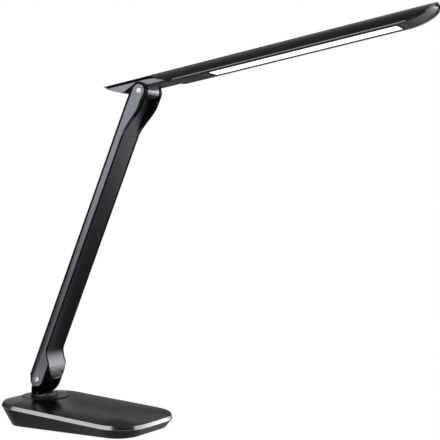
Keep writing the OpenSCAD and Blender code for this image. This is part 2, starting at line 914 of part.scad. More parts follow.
module head_shell() {
    color([0.08, 0.08, 0.10]) on_head() {
        intersection() {
            difference() {
                head_bar(shell_r, -head_tail, head_front);
                head_bar(inner_r, -head_tail - over, head_front + over);
            }
            head_above(0, -head_tail, head_front - thin);
        }
        for (i = [0:boss_count - 1])
            at_boss(i) difference() {
                cylinder(r = boss_r, h = shell_mid + inner_r + shell_t / 2 - boss_z);
                translate([0, 0, -over]) cylinder(r = head_screw_r, h = boss_pilot_l + over);
            }
    }
}

// Foot of screw boss number i under the crown of the shell
module at_boss(i) {
    translate([spreader_start + boss_end + (spreader_l - 2 * boss_end) * i / (boss_count - 1), 0, boss_z])
        children();
}

// Tail and tongue of the head, with the upper pivot barrel
module hinge_housing() {
    tail_l = head_tail - tail_root - tail_in;
    tail_s = [for (i = [0:curve_steps]) -head_tail + tail_in + tail_l * i / curve_steps];
    tail = [for (s = tail_s) [s, tail_edge(s)]];
    root = [[-root_back, cheek_room], [top_barrel_r - 1, cheek_room], [root_end, cheek_room + root_rise]];
    top = [[root_end, 2 * crown_h], [-head_tail + tail_in, 2 * crown_h]];
    tongue = [
        [-top_barrel_r, 0], [-top_barrel_r, 2 * crown_h], [tongue_front, 2 * crown_h],
        [tongue_front, tongue_h], [top_barrel_r - 1, tongue_h], [top_barrel_r - 1, 0]
    ];
    color([0.16, 0.16, 0.18]) on_head() difference() {
        union() {
            intersection() {
                head_bar(fill_r, -head_tail, tongue_front + thin);
                union() {
                    across(4 * shell_r) polygon(concat(tail, root, top));
                    across(2 * tongue_half) polygon(tongue);
                }
            }
            cross_cylinder(top_barrel_r, 2 * tongue_half);
        }
        cross_cylinder(pin_r + run_gap, arm_w);
    }
}

module under_cover() {
    start = root_end + seat_gap;
    color([0.17, 0.17, 0.18]) on_head() difference() {
        intersection() {
            head_bar(fill_r, start, head_front);
            difference() {
                head_above(cover_in, start, cover_front);
                head_above(cover_in + cover_t, start - thin, cover_front + thin);
            }
        }
        translate([0, -tongue_half - seat_gap, 0])
            cube([tongue_front + seat_gap, 2 * (tongue_half + seat_gap), 2 * crown_h]);
        translate([panel_start, -panel_w / 2, 0])
            cube([panel_l, panel_w, guide_z + over]);
    }
}

module diffuser() {
    color([0.97, 0.97, 0.95]) on_head()
        translate([panel_start + seat_gap, -panel_w / 2 + seat_gap, cover_low])
            cube([panel_l - 2 * seat_gap, panel_w - 2 * seat_gap, cover_t]);
}

module light_guide() {
    color([0.85, 0.90, 0.92]) on_head()
        translate([panel_start - guide_over, -guide_half, guide_z])
            cube([panel_l + 2 * guide_over, 2 * guide_half, guide_t]);
}

module reflector_sheet() {
    color([0.95, 0.95, 0.95]) on_head()
        translate([panel_start - guide_over, -guide_half, reflector_z])
            cube([panel_l + 2 * guide_over, 2 * guide_half, reflector_t]);
}

// Two boards of light diodes along the long edges of the light guide
module led_strips() {
    color([0.90, 0.88, 0.70]) on_head() mirrored_y()
        translate([panel_start, guide_half, guide_z])
            cube([panel_l, strip_t, guide_t - seat_gap]);
}

module heat_spreader() {
    color([0.70, 0.71, 0.73]) on_head() difference() {
        translate([spreader_start, -spreader_half, spreader_z])
            cube([spreader_l, 2 * spreader_half, spreader_t]);
        for (i = [0:boss_count - 1])
            at_boss(i) translate([0, 0, -2 * spreader_t])
                cylinder(r = head_screw_r + seat_gap, h = 3 * spreader_t);
    }
}

// Countersunk screws that hold the heat spreader up to the shell bosses
module head_screws() {
    color([0.55, 0.55, 0.57]) on_head()
        for (i = [0:boss_count - 1])
            at_boss(i) translate([0, 0, -spreader_t])
                cylinder(r = head_screw_r - run_gap, h = spreader_t + boss_pilot_l - screw_play);
}

base_top_cover();
base_housing();
bottom_plate();
base_weight();
rubber_pad();
bottom_screws();
control_board();
touch_springs();
power_socket();
swivel_disc();
swivel_bolt();
swivel_washer();
swivel_spring();
swivel_nut();
neck_collar();
hinge_post();
arm_spine();
near_panel();
far_panel();
front_cover();
lower_pin();
upper_pin();
pin_caps();
lower_washers();
upper_washers();
arm_cable();
head_shell();
hinge_housing();
under_cover();
diffuser();
light_guide();
reflector_sheet();
led_strips();
heat_spreader();
head_screws();
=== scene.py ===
"""Looks of a folding LED desk lamp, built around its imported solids.

The lamp stands in its own frame: origin on the table at the swivel axis, +X forward,
+Z up, metres. Sizes of the lamp are written in millimetres and turned into metres by
the helper mm(). The camera, the lights and the cards are placed in metres.
"""

import json
import logging
import math
from dataclasses import dataclass, field
from enum import Enum
from typing import Callable, Sequence

import bmesh
import bpy
from mathutils import Matrix, Quaternion, Vector


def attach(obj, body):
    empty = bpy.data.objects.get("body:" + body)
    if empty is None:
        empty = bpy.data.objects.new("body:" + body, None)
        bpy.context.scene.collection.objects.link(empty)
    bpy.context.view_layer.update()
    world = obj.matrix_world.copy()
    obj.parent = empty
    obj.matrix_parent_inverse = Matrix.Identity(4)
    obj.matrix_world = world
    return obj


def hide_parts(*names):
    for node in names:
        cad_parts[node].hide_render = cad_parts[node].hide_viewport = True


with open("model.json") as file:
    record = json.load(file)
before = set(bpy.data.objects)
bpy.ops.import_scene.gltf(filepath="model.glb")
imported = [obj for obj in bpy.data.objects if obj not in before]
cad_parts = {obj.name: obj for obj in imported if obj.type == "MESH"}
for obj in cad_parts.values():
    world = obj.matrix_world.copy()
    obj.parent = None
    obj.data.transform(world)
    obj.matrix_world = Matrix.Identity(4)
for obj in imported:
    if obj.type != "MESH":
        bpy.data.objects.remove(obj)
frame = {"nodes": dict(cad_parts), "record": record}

log = logging.getLogger("lamp")
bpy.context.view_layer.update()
NODES: dict[str, bpy.types.Object] = frame["nodes"]

SIDES = (-1.0, 1.0)                   # near side and far side, across the lamp
WHITE = (1.0, 1.0, 1.0, 1.0)
NOISE_MEAN = 0.5                      # middle of a noise or random value
STREAK_STRETCH = (1.0, 1.0, 0.02)     # squeezes the noise along z into streaks
GRAIN_HEIGHT = 0.05                   # millimetres that a full bump stands for
EDGE_ANGLE = 40.0                     # sharper edges are eased, and stay sharp in shading
FLAT_ANGLE = 0.3                      # faces that turn less than this count as one
WELD_REACH = 1e-6                     # metres between points that count as one
SPLIT_REACH = 1e-7                    # metres off a cutting plane that count as on it


def mm(value: float | Vector) -> float | Vector:
    """Turns millimetres into metres."""
    return value * 0.001


def in_mm(value: Vector) -> Vector:
    """Turns metres into millimetres."""
    return value * 1000.0


class Body(str, Enum):
    """The four rigid bodies that pieces ride on."""

    BASE = "base"
    TURNTABLE = "turntable"
    ARM = "arm"
    HEAD = "head"


class Grain(Enum):
    """Direction in which a metal surface was brushed."""

    ALONG_ARM = "along_arm"
    ALONG_HEAD = "along_head"
    NONE = "none"


@dataclass(frozen=True)
class Stance:
    """Driving dimensions of the lamp's pose, in millimetres and degrees."""

    arm_lean: float = 23.75
    head_tilt: float = 8.0
    arm_length: float = 380.0
    pivot_z: float = 53.5

    def lower(self) -> Vector:
        """Place of the lower pivot."""
        return Vector((0.0, 0.0, mm(self.pivot_z)))

    def upper(self) -> Vector:
        """Place of the upper pivot."""
        lean = math.radians(self.arm_lean)
        reach = Vector((math.sin(lean), 0.0, math.cos(lean)))
        return self.lower() + reach * mm(self.arm_length)

    def arm_frame(self) -> Matrix:
        """Matrix of the arm frame: z up the pivot line, x to the front face."""
        turn = Matrix.Rotation(math.radians(self.arm_lean), 4, "Y")
        return Matrix.Translation(self.lower()) @ turn

    def head_frame(self) -> Matrix:
        """Matrix of the head frame: x to the tip, z to the crown."""
        turn = Matrix.Rotation(math.radians(-self.head_tilt), 4, "Y")
        return Matrix.Translation(self.upper()) @ turn


STANCE = Stance()


# ---------------------------------------------------------------- node and mesh helpers

def set_inputs(node: bpy.types.Node, values: dict[str | int, object]) -> None:
    """Gives inputs of a node their plain values.

    Args:
        node: The node.
        values: Values by the name or the number of the input.
    """
    for label, value in values.items():
        node.inputs[label].default_value = value


def add_node(tree: bpy.types.NodeTree, kind: str, values: dict[str | int, object] | None = None,
             **options: object) -> bpy.types.Node:
    """Adds a node with its options and the plain values of its inputs.

    Args:
        tree: The node tree that the node is added to.
        kind: Type of the node.
        values: Values by the name or the number of the input.
        **options: Settings of the node itself, such as its operation.

    Returns:
        The new node.
    """
    node = tree.nodes.new(kind)
    for label, option in options.items():
        setattr(node, label, option)
    set_inputs(node, values or {})
    return node


def wire(tree: bpy.types.NodeTree, *pairs: tuple[bpy.types.NodeSocket, bpy.types.NodeSocket]) -> None:
    """Links sockets of a node tree.

    Args:
        tree: The node tree.
        *pairs: Source and target of each link.
    """
    for source, target in pairs:
        tree.links.new(source, target)


def new_group(name: str, kind: str, inputs: Sequence[tuple], outputs: Sequence[tuple],
              ) -> tuple[bpy.types.NodeTree, bpy.types.Node, bpy.types.Node]:
    """Makes a node group with named sockets.

    Args:
        name: Name of the group.
        kind: Type of its node tree.
        inputs: Name and kind of each input, and its default value where it has one.
        outputs: Name and kind of each output.

    Returns:
        The group, its input node and its output node.
    """
    group = bpy.data.node_groups.new(name, kind)
    for way, rows in (("INPUT", inputs), ("OUTPUT", outputs)):
        for label, sort, *value in rows:
            socket = group.interface.new_socket(
                name=label, in_out=way, socket_type=f"NodeSocket{sort}")
            if value:
                socket.default_value = value[0]
    return group, group.nodes.new("NodeGroupInput"), group.nodes.new("NodeGroupOutput")


def bare_material(name: str) -> bpy.types.Material:
    """Makes a material whose node tree is still empty."""
    paint = bpy.data.materials.new(name)
    paint.use_nodes = True
    paint.node_tree.nodes.clear()
    return paint


def link_mesh(name: str, mesh: bpy.types.Mesh) -> bpy.types.Object:
    """Puts a mesh into the scene as an object at the origin."""
    piece = bpy.data.objects.new(name, mesh)
    bpy.context.scene.collection.objects.link(piece)
    return piece


def flat_sheet(name: str, wide: float, high: float) -> bpy.types.Object:
    """Makes one rectangle in the XY plane round the origin, in metres."""
    x, y = wide / 2, high / 2
    mesh = bpy.data.meshes.new(name)
    mesh.from_pydata([(-x, -y, 0), (x, -y, 0), (x, y, 0), (-x, y, 0)], [], [(0, 1, 2, 3)])
    return link_mesh(name, mesh)


def looking(place: Sequence[float], aim: Sequence[float]) -> Quaternion:
    """Turn of a light or card that stands at a place and looks at a point."""
    return (Vector(aim) - Vector(place)).to_track_quat("-Z", "Y")


def skin_rings(name: str, rings: Sequence[Sequence[Vector]], pairs: Sequence[tuple[int, int]],
               caps: Sequence[int] = ()) -> bpy.types.Object:
    """Skins rings of equal length with faces.

    Args:
        name: Name of the new object.
        rings: Rings of points.
        pairs: Numbers of the rings that faces join.
        caps: Numbers of the rings that one face closes.

    Returns:
        The object, with its faces outwards.
    """
    made = bmesh.new()
    rows = [[made.verts.new(point) for point in ring] for ring in rings]
    count = len(rows[0])
    for low, high in pairs:
        for i in range(count):
            j = (i + 1) % count
            made.faces.new((rows[low][i], rows[low][j], rows[high][j], rows[high][i]))
    for cap in caps:
        made.faces.new(rows[cap])
    bmesh.ops.recalc_face_normals(made, faces=made.faces)
    mesh = bpy.data.meshes.new(name)
    made.to_mesh(mesh)
    made.free()
    return link_mesh(name, mesh)


def rod(name: str, rings: Sequence[Sequence[Vector]]) -> bpy.types.Object:
    """Skins rings into a closed rod: the first and the last ring are its ends."""
    last = len(rings) - 1
    return skin_rings(name, rings, [(k, k + 1) for k in range(last)], (0, last))


def hoop(name: str, rings: Sequence[Sequence[Vector]]) -> bpy.types.Object:
    """Skins rings round the section of a closed hoop, the last joined to the first."""
    count = len(rings)
    return skin_rings(name, rings, [(k, (k + 1) % count) for k in range(count)])


def bowl(name: str, outer: Sequence[Sequence[Vector]],
         inner: Sequence[Sequence[Vector]]) -> bpy.types.Object:
    """Skins an open bowl with thickness: outer rings up, inner rings down.

    Args:
        name: Name of the new object.
        outer: Rings of the outside, from the lip to the crown.
        inner: Rings of the inside, from the crown to the lip.

    Returns:
        The object, with its faces outwards.
    """
    rings = [*outer, *inner]
    count, crown = len(rings), len(outer) - 1
    pairs = [(k, (k + 1) % count) for k in range(count) if k != crown]
    return skin_rings(name, rings, pairs, (crown, crown + 1))


def circle(radius: float, steps: int, middle: tuple[float, float] = (0.0, 0.0),
           ) -> list[tuple[float, float]]:
    """Points of a circle, counter-clockwise.

    Args:
        radius: Its radius.
        steps: How many points it has.
        middle: Its centre.

    Returns:
        The points.
    """
    turns = [2 * math.pi * i / steps for i in range(steps)]
    return [(middle[0] + radius * math.cos(a), middle[1] + radius * math.sin(a)) for a in turns]


# ---------------------------------------------------------------- camera and studio

@dataclass
class Viewpoint:
    """The camera and how it stands to the lamp."""

    place: tuple[float, float, float] = (0.8247, -0.9906, 0.2495)
    turn_left: float = 30.022
    pitch_up: float = 0.072
    focal_mm: float = 82.97
    sensor_mm: float = 36.0
    clip: tuple[float, float] = (0.05, 50.0)

    def build(self) -> bpy.types.Object:
        """Makes the camera and sets it as the scene's camera.

        Returns:
            The camera object.
        """
        data = bpy.data.cameras.new("viewpoint")
        data.sensor_width = self.sensor_mm
        data.lens = self.focal_mm
        data.clip_start, data.clip_end = self.clip
        camera = bpy.data.objects.new("viewpoint", data)
        bpy.context.scene.collection.objects.link(camera)
        camera.location = self.place
        level = 90.0
        camera.rotation_euler = (
            math.radians(level + self.pitch_up), 0.0, math.radians(self.turn_left))
        bpy.context.scene.camera = camera
        return camera


@dataclass(frozen=True)
class Softbox:
    """A rectangular area light that looks at a point of the lamp.

    A softbox that isn't in the mirror lights the lamp without showing in its glossy faces.
    """

    name: str
    place: tuple[float, float, float]
    aim: tuple[float, float, float]
    size: tuple[float, float]
    watts: float
    in_mirror: bool = True

    def build(self) -> bpy.types.Object:
        """Makes the softbox as part of the stage.

        Returns:
            The light object.
        """
        data = bpy.data.lights.new(self.name, "AREA")
        data.shape = "RECTANGLE"
        data.size, data.size_y = self.size
        data.energy = self.watts
        box = bpy.data.objects.new(self.name, data)
        bpy.context.scene.collection.objects.link(box)
        box.location = self.place
        box.rotation_euler = looking(self.place, self.aim).to_euler()
        box.visible_glossy = self.in_mirror
        return box


@dataclass(frozen=True)
class ShadeCard:
    """A card outside the picture that only shows in reflections, where it sets their tone."""

    name: str
    place: tuple[float, float, float]
    aim: tuple[float, float, float]
    size: tuple[float, float]
    shade: float
    spin: float = 0.0

    def build(self) -> bpy.types.Object:
        """Makes the card as part of the stage.

        Returns:
            The card object.
        """
        card = flat_sheet(self.name, *self.size)
        paint = bare_material(self.name)
        tree = paint.node_tree
        out = add_node(tree, "ShaderNodeOutputMaterial")
        glow = add_node(tree, "ShaderNodeEmission", {"Strength": self.shade})
        wire(tree, (glow.outputs[0], out.inputs["Surface"]))
        card.data.materials.append(paint)
        card.location = self.place
        spin = Quaternion((0.0, 0.0, 1.0), math.radians(self.spin))
        card.rotation_euler = (looking(self.place, self.aim) @ spin).to_euler()
        card.visible_camera = False
        card.visible_diffuse = False
        card.visible_shadow = False
        card.visible_transmission = False
        return card


@dataclass
class Studio:
    """Pale floor, white surroundings, soft light and the cards that shape the reflections.

    The floor lies floor_drop millimetres under the lamp. A share floor_glow of it glows
    evenly where it is seen, and the rest is plain paint that takes the shadow.
    """

    floor_size: float = 40.0
    floor_drop: float = 0.05
    floor_shade: float = 0.86
    floor_glow: float = 0.94
    glow_level: float = 1.04
    fill_strength: float = 0.5
    cards: tuple[ShadeCard, ...] = (
        ShadeCard("behind_card", place=(-0.0565, 0.703, 0.16), aim=(0.2635, 0.153, 0.14),
                  size=(0.72, 0.34), shade=0.17),
        ShadeCard("behind_left_card", place=(-0.627, 0.371, 0.16), aim=(-0.307, -0.179, 0.14),
                  size=(0.60, 0.34), shade=0.44),
        ShadeCard("left_wall_card", place=(-0.2, -0.0625, 0.14), aim=(0.0, -0.0625, 0.14),
                  size=(0.365, 0.30), shade=0.05),
        ShadeCard("upper_card", place=(-0.02, 0.62, 0.66), aim=(0.3, 0.0, 0.47),
                  size=(1.6, 0.60), shade=0.16),
        ShadeCard("corner_card", place=(0.66, -0.30, 0.43), aim=(0.14, -0.05, 0.01),
                  size=(1.0, 0.54), shade=0.01),
        ShadeCard("far_floor_card", place=(0.45, 0.75, 0.012), aim=(0.45, 0.75, 1.0),
                  size=(1.0, 1.3), shade=0.04),
        ShadeCard("left_card", place=(-0.7, -1.2, 0.01), aim=(-0.7, -1.2, 1.0),
                  size=(2.4, 1.0), shade=0.25, spin=-60.0),
        ShadeCard("under_card", place=(0.065, 0.0, -0.00002), aim=(0.065, 0.0, 1.0),
                  size=(0.30, 0.23), shade=0.55),
    )
    boxes: tuple[Softbox, ...] = (
        Softbox("key_box", place=(-0.9, 1.0, 1.7), aim=(0.1, 0.0, 0.2),
                size=(0.9, 0.9), watts=12.0, in_mirror=False),
        Softbox("front_box", place=(-0.4, -1.9, 1.1), aim=(0.1, 0.0, 0.2),
                size=(0.8, 0.8), watts=6.0, in_mirror=False),
        Softbox("side_box", place=(1.0, 1.7, 0.9), aim=(0.15, 0.0, 0.2),
                size=(0.5, 0.9), watts=6.0),
    )

    def floor(self) -> bpy.types.Object:
        """Makes the plain pale floor, which keeps the lamp's shadow.

        Returns:
            The floor object.
        """
        floor = flat_sheet("floor", self.floor_size, self.floor_size)
        floor.location.z = -mm(self.floor_drop)
        floor.data.materials.append(self.floor_paint())
        return floor

    def floor_paint(self) -> bpy.types.Material:
        """White floor: part plain paint that takes the shadow, part even glow."""
        paint = bare_material("floor_paint")
        tree = paint.node_tree
        shade = self.floor_shade
        out = add_node(tree, "ShaderNodeOutputMaterial")
        blend = add_node(tree, "ShaderNodeMixShader")
        matt = add_node(tree, "ShaderNodeBsdfDiffuse", {"Color": (shade, shade, shade, 1.0)})
        glow = add_node(tree, "ShaderNodeEmission", {"Color": WHITE, "Strength": self.glow_level})
        share = add_node(tree, "ShaderNodeMath", {1: self.floor_glow}, operation="MULTIPLY")
        wire(tree,
             (seen_rays(tree), share.inputs[0]),
             (share.outputs[0], blend.inputs[0]),
             (matt.outputs[0], blend.inputs[1]),
             (glow.outputs[0], blend.inputs[2]),
             (blend.outputs[0], out.inputs["Surface"]))
        return paint

    def surroundings(self) -> None:
        """White world where it is seen, dimmer where it only lights the lamp."""
        world = bpy.data.worlds.new("studio")
        world.use_nodes = True
        bpy.context.scene.world = world
        tree = world.node_tree
        tree.nodes.clear()
        out = add_node(tree, "ShaderNodeOutputWorld")
        white = add_node(tree, "ShaderNodeBackground", {"Color": WHITE})
        strength = add_node(tree, "ShaderNodeMapRange", {"To Min": self.fill_strength, "To Max": 1.0})
        wire(tree,
             (seen_rays(tree), strength.inputs["Value"]),
             (strength.outputs["Result"], white.inputs["Strength"]),
             (white.outputs[0], out.inputs["Surface"]))

    def build(self) -> None:
        """Makes the floor, the surroundings, the lights and the cards."""
        self.floor()
        self.surroundings()
        for item in (*self.boxes, *self.cards):
            item.build()
        bpy.context.scene.view_settings.view_transform = "Standard"


def seen_rays(tree: bpy.types.NodeTree) -> bpy.types.NodeSocket:
    """Value 1 for camera, mirror and see-through rays, 0 for rays that only light.

    Args:
        tree: The node tree that the nodes are added to.

    Returns:
        The output socket.
    """
    path = add_node(tree, "ShaderNodeLightPath")
    first = add_node(tree, "ShaderNodeMath", operation="MAXIMUM")
    second = add_node(tree, "ShaderNodeMath", operation="MAXIMUM")
    wire(tree,
         (path.outputs["Is Camera Ray"], first.inputs[0]),
         (path.outputs["Is Glossy Ray"], first.inputs[1]),
         (first.outputs[0], second.inputs[0]),
         (path.outputs["Is Transmission Ray"], second.inputs[1]))
    return second.outputs[0]


# ---------------------------------------------------------------- shared effects

class SharedEffects:
    """Node groups that several finishes use, each built once."""

    def __init__(self) -> None:
        """Builds the groups."""
        self.grain = self.build_grain()
        self.brushing = self.build_brushing()
        self.painted_light_run = self.build_tone_run()

    @staticmethod
    def build_tone_run() -> bpy.types.NodeTree:
        """Colour that runs from one tone to another between two places along a direction, which finishes
        use to paint light into their colour.

        Returns:
            The node group.
        """
        group, given, result = new_group(
            "painted_light_run", "ShaderNodeTree",
            (("Vector", "Vector"), ("Direction", "Vector"), ("Start", "Float", 0.0),
             ("End", "Float", 1.0), ("Dark", "Float", 0.01), ("Pale", "Float", 0.2),
             ("Tint", "Vector")),
            (("Color", "Color"),))
        along = add_node(group, "ShaderNodeVectorMath", operation="DOT_PRODUCT")
        share = add_node(group, "ShaderNodeMapRange", interpolation_type="SMOOTHSTEP")
        tone = add_node(group, "ShaderNodeVectorMath", operation="SCALE")
        wire(group,
             (given.outputs["Vector"], along.inputs[0]),
             (given.outputs["Direction"], along.inputs[1]),
             (along.outputs["Value"], share.inputs["Value"]),
             (given.outputs["Start"], share.inputs["From Min"]),
             (given.outputs["End"], share.inputs["From Max"]),
             (given.outputs["Dark"], share.inputs["To Min"]),
             (given.outputs["Pale"], share.inputs["To Max"]),
             (given.outputs["Tint"], tone.inputs[0]),
             (share.outputs["Result"], tone.inputs["Scale"]),
             (tone.outputs["Vector"], result.inputs["Color"]))
        return group

    @staticmethod
    def sway(group: bpy.types.NodeTree, given: bpy.types.Node, noise: bpy.types.Node,
             depth: str) -> bpy.types.NodeSocket:
        """Lets the roughness sway round its set value with a noise.

        Args:
            group: The node group.
            given: Its input node, which has the roughness.
            noise: The noise texture.
            depth: Name of the input that says how far the roughness sways.

        Returns:
            The socket that carries the roughness.
        """
        centred = add_node(group, "ShaderNodeMath", {1: NOISE_MEAN}, operation="SUBTRACT")
        swing = add_node(group, "ShaderNodeMath", operation="MULTIPLY_ADD")
        wire(group,
             (noise.outputs["Fac"], centred.inputs[0]),
             (centred.outputs[0], swing.inputs[0]),
             (given.outputs[depth], swing.inputs[1]),
             (given.outputs["Roughness"], swing.inputs[2]))
        return swing.outputs[0]

    def build_grain(self) -> bpy.types.NodeTree:
        """Fine moulded grain with slow patches, as a height and a roughness.

        Returns:
            The node group.
        """
        group, given, result = new_group(
            "moulded_grain", "ShaderNodeTree",
            (("Vector", "Vector"), ("Grain Scale", "Float", 2500.0), ("Patch Scale", "Float", 14.0),
             ("Roughness", "Float", 0.4), ("Patch Depth", "Float", 0.05)),
            (("Height", "Float"), ("Roughness", "Float")))
        fine = add_node(group, "ShaderNodeTexNoise", {"Detail": 1.0})
        slow = add_node(group, "ShaderNodeTexNoise", {"Detail": 3.0})
        wire(group,
             (given.outputs["Vector"], fine.inputs["Vector"]),
             (given.outputs["Grain Scale"], fine.inputs["Scale"]),
             (given.outputs["Vector"], slow.inputs["Vector"]),
             (given.outputs["Patch Scale"], slow.inputs["Scale"]),
             (fine.outputs["Fac"], result.inputs["Height"]),
             (self.sway(group, given, slow, "Patch Depth"), result.inputs["Roughness"]))
        return group

    def build_brushing(self) -> bpy.types.NodeTree:
        """Long fine streaks along the local z axis, as a height and a roughness.

        Returns:
            The node group.
        """
        group, given, result = new_group(
            "brushed_streaks", "ShaderNodeTree",
            (("Vector", "Vector"), ("Streak Scale", "Float", 900.0), ("Roughness", "Float", 0.3),
             ("Streak Depth", "Float", 0.1)),
            (("Height", "Float"), ("Roughness", "Float")))
        squash = add_node(group, "ShaderNodeVectorMath", {1: STREAK_STRETCH}, operation="MULTIPLY")
        streak = add_node(group, "ShaderNodeTexNoise", {"Detail": 2.0})
        wire(group,
             (given.outputs["Vector"], squash.inputs[0]),
             (squash.outputs[0], streak.inputs["Vector"]),
             (given.outputs["Streak Scale"], streak.inputs["Scale"]),
             (streak.outputs["Fac"], result.inputs["Height"]),
             (self.sway(group, given, streak, "Streak Depth"), result.inputs["Roughness"]))
        return group


EFFECTS = SharedEffects()


# ---------------------------------------------------------------- finishes

@dataclass(frozen=True)
class Finish:
    """A surface finish. Plain values sit on the shader's own sockets.

    Where tones are given, the colour runs from the first to the second between the two places of
    run, in millimetres from the pivot along the arm or the head. These tones paint light into
    the colour: a painted highlight or sheen, not the metal's own colour.
    in millimetres from the pivot along the arm or the head.
    """

    name: str
    colour: tuple[float, float, float]
    roughness: float = 0.4
    metallic: float = 0.0
    specular: float = 0.5
    grain_bump: float = 0.02
    grain_scale: float = 2500.0
    patch_depth: float = 0.06
    grain: Grain = Grain.NONE
    streak_depth: float = 0.12
    glow: float = 0.0
    painted_light_tones: tuple[float, float] | None = None
    run: tuple[float, float] = (0.0, 1.0)

    def build(self) -> bpy.types.Material:
        """Makes the material, with its grain or brushing.

        Returns:
            The material.
        """
        paint = bpy.data.materials.new(self.name)
        paint.use_nodes = True
        tree = paint.node_tree
        shader = tree.nodes["Principled BSDF"]
        colour = (*self.colour, 1.0)
        set_inputs(shader, {"Base Color": colour, "Metallic": self.metallic,
                            "Specular IOR Level": self.specular})
        if self.glow > 0.0:
            set_inputs(shader, {"Emission Color": colour, "Emission Strength": self.glow})
        if self.painted_light_tones is not None:
            self.place_tones(tree, shader)
        effect = self.place_effect(tree)
        wire(tree, (effect.outputs["Roughness"], shader.inputs["Roughness"]))
        if self.grain_bump > 0.0:
            bump = add_node(tree, "ShaderNodeBump", {"Strength": self.grain_bump,
                                                     "Distance": mm(GRAIN_HEIGHT)})
            wire(tree,
                 (effect.outputs["Height"], bump.inputs["Height"]),
                 (bump.outputs["Normal"], shader.inputs["Normal"]))
        return paint

    def place_tones(self, tree: bpy.types.NodeTree, shader: bpy.types.Node) -> None:
        """Paints light into the colour, which runs from the first tone to the second along the arm or
        the head.

        Args:
            tree: The material's node tree.
            shader: The surface shader.
        """
        on_arm = self.grain is Grain.ALONG_ARM
        reach = STANCE.arm_frame() if on_arm else STANCE.head_frame()
        axis = Vector((0.0, 0.0, 1.0)) if on_arm else Vector((1.0, 0.0, 0.0))
        way = (reach.to_3x3() @ axis).normalized()
        start, end = ((reach @ (axis * mm(place))).dot(way) for place in self.run)
        dark, pale = self.painted_light_tones
        where = add_node(tree, "ShaderNodeTexCoord")
        tone = add_node(
            tree, "ShaderNodeGroup",
            {"Direction": way, "Start": start, "End": end, "Dark": dark, "Pale": pale,
             "Tint": self.colour},
            node_tree=EFFECTS.painted_light_run)
        wire(tree,
             (where.outputs["Object"], tone.inputs["Vector"]),
             (tone.outputs["Color"], shader.inputs["Base Color"]))

    def place_effect(self, tree: bpy.types.NodeTree) -> bpy.types.Node:
        """Places the shared grain or brushing on the piece's own coordinates.

        Args:
            tree: The material's node tree.

        Returns:
            The group node.
        """
        where = add_node(tree, "ShaderNodeTexCoord")
        turned = add_node(tree, "ShaderNodeMapping")
        if self.grain is Grain.NONE:
            effect = add_node(
                tree, "ShaderNodeGroup",
                {"Grain Scale": self.grain_scale, "Patch Depth": self.patch_depth},
                node_tree=EFFECTS.grain)
        else:
            effect = add_node(
                tree, "ShaderNodeGroup",
                {"Streak Scale": self.grain_scale, "Streak Depth": self.streak_depth},
                node_tree=EFFECTS.brushing)
            lean = -STANCE.arm_lean if self.grain is Grain.ALONG_ARM else STANCE.head_tilt - 90.0
            set_inputs(turned, {"Rotation": (0.0, math.radians(lean), 0.0)})
        set_inputs(effect, {"Roughness": self.roughness})
        wire(tree,
             (where.outputs["Object"], turned.inputs["Vector"]),
             (turned.outputs["Vector"], effect.inputs["Vector"]))
        return effect


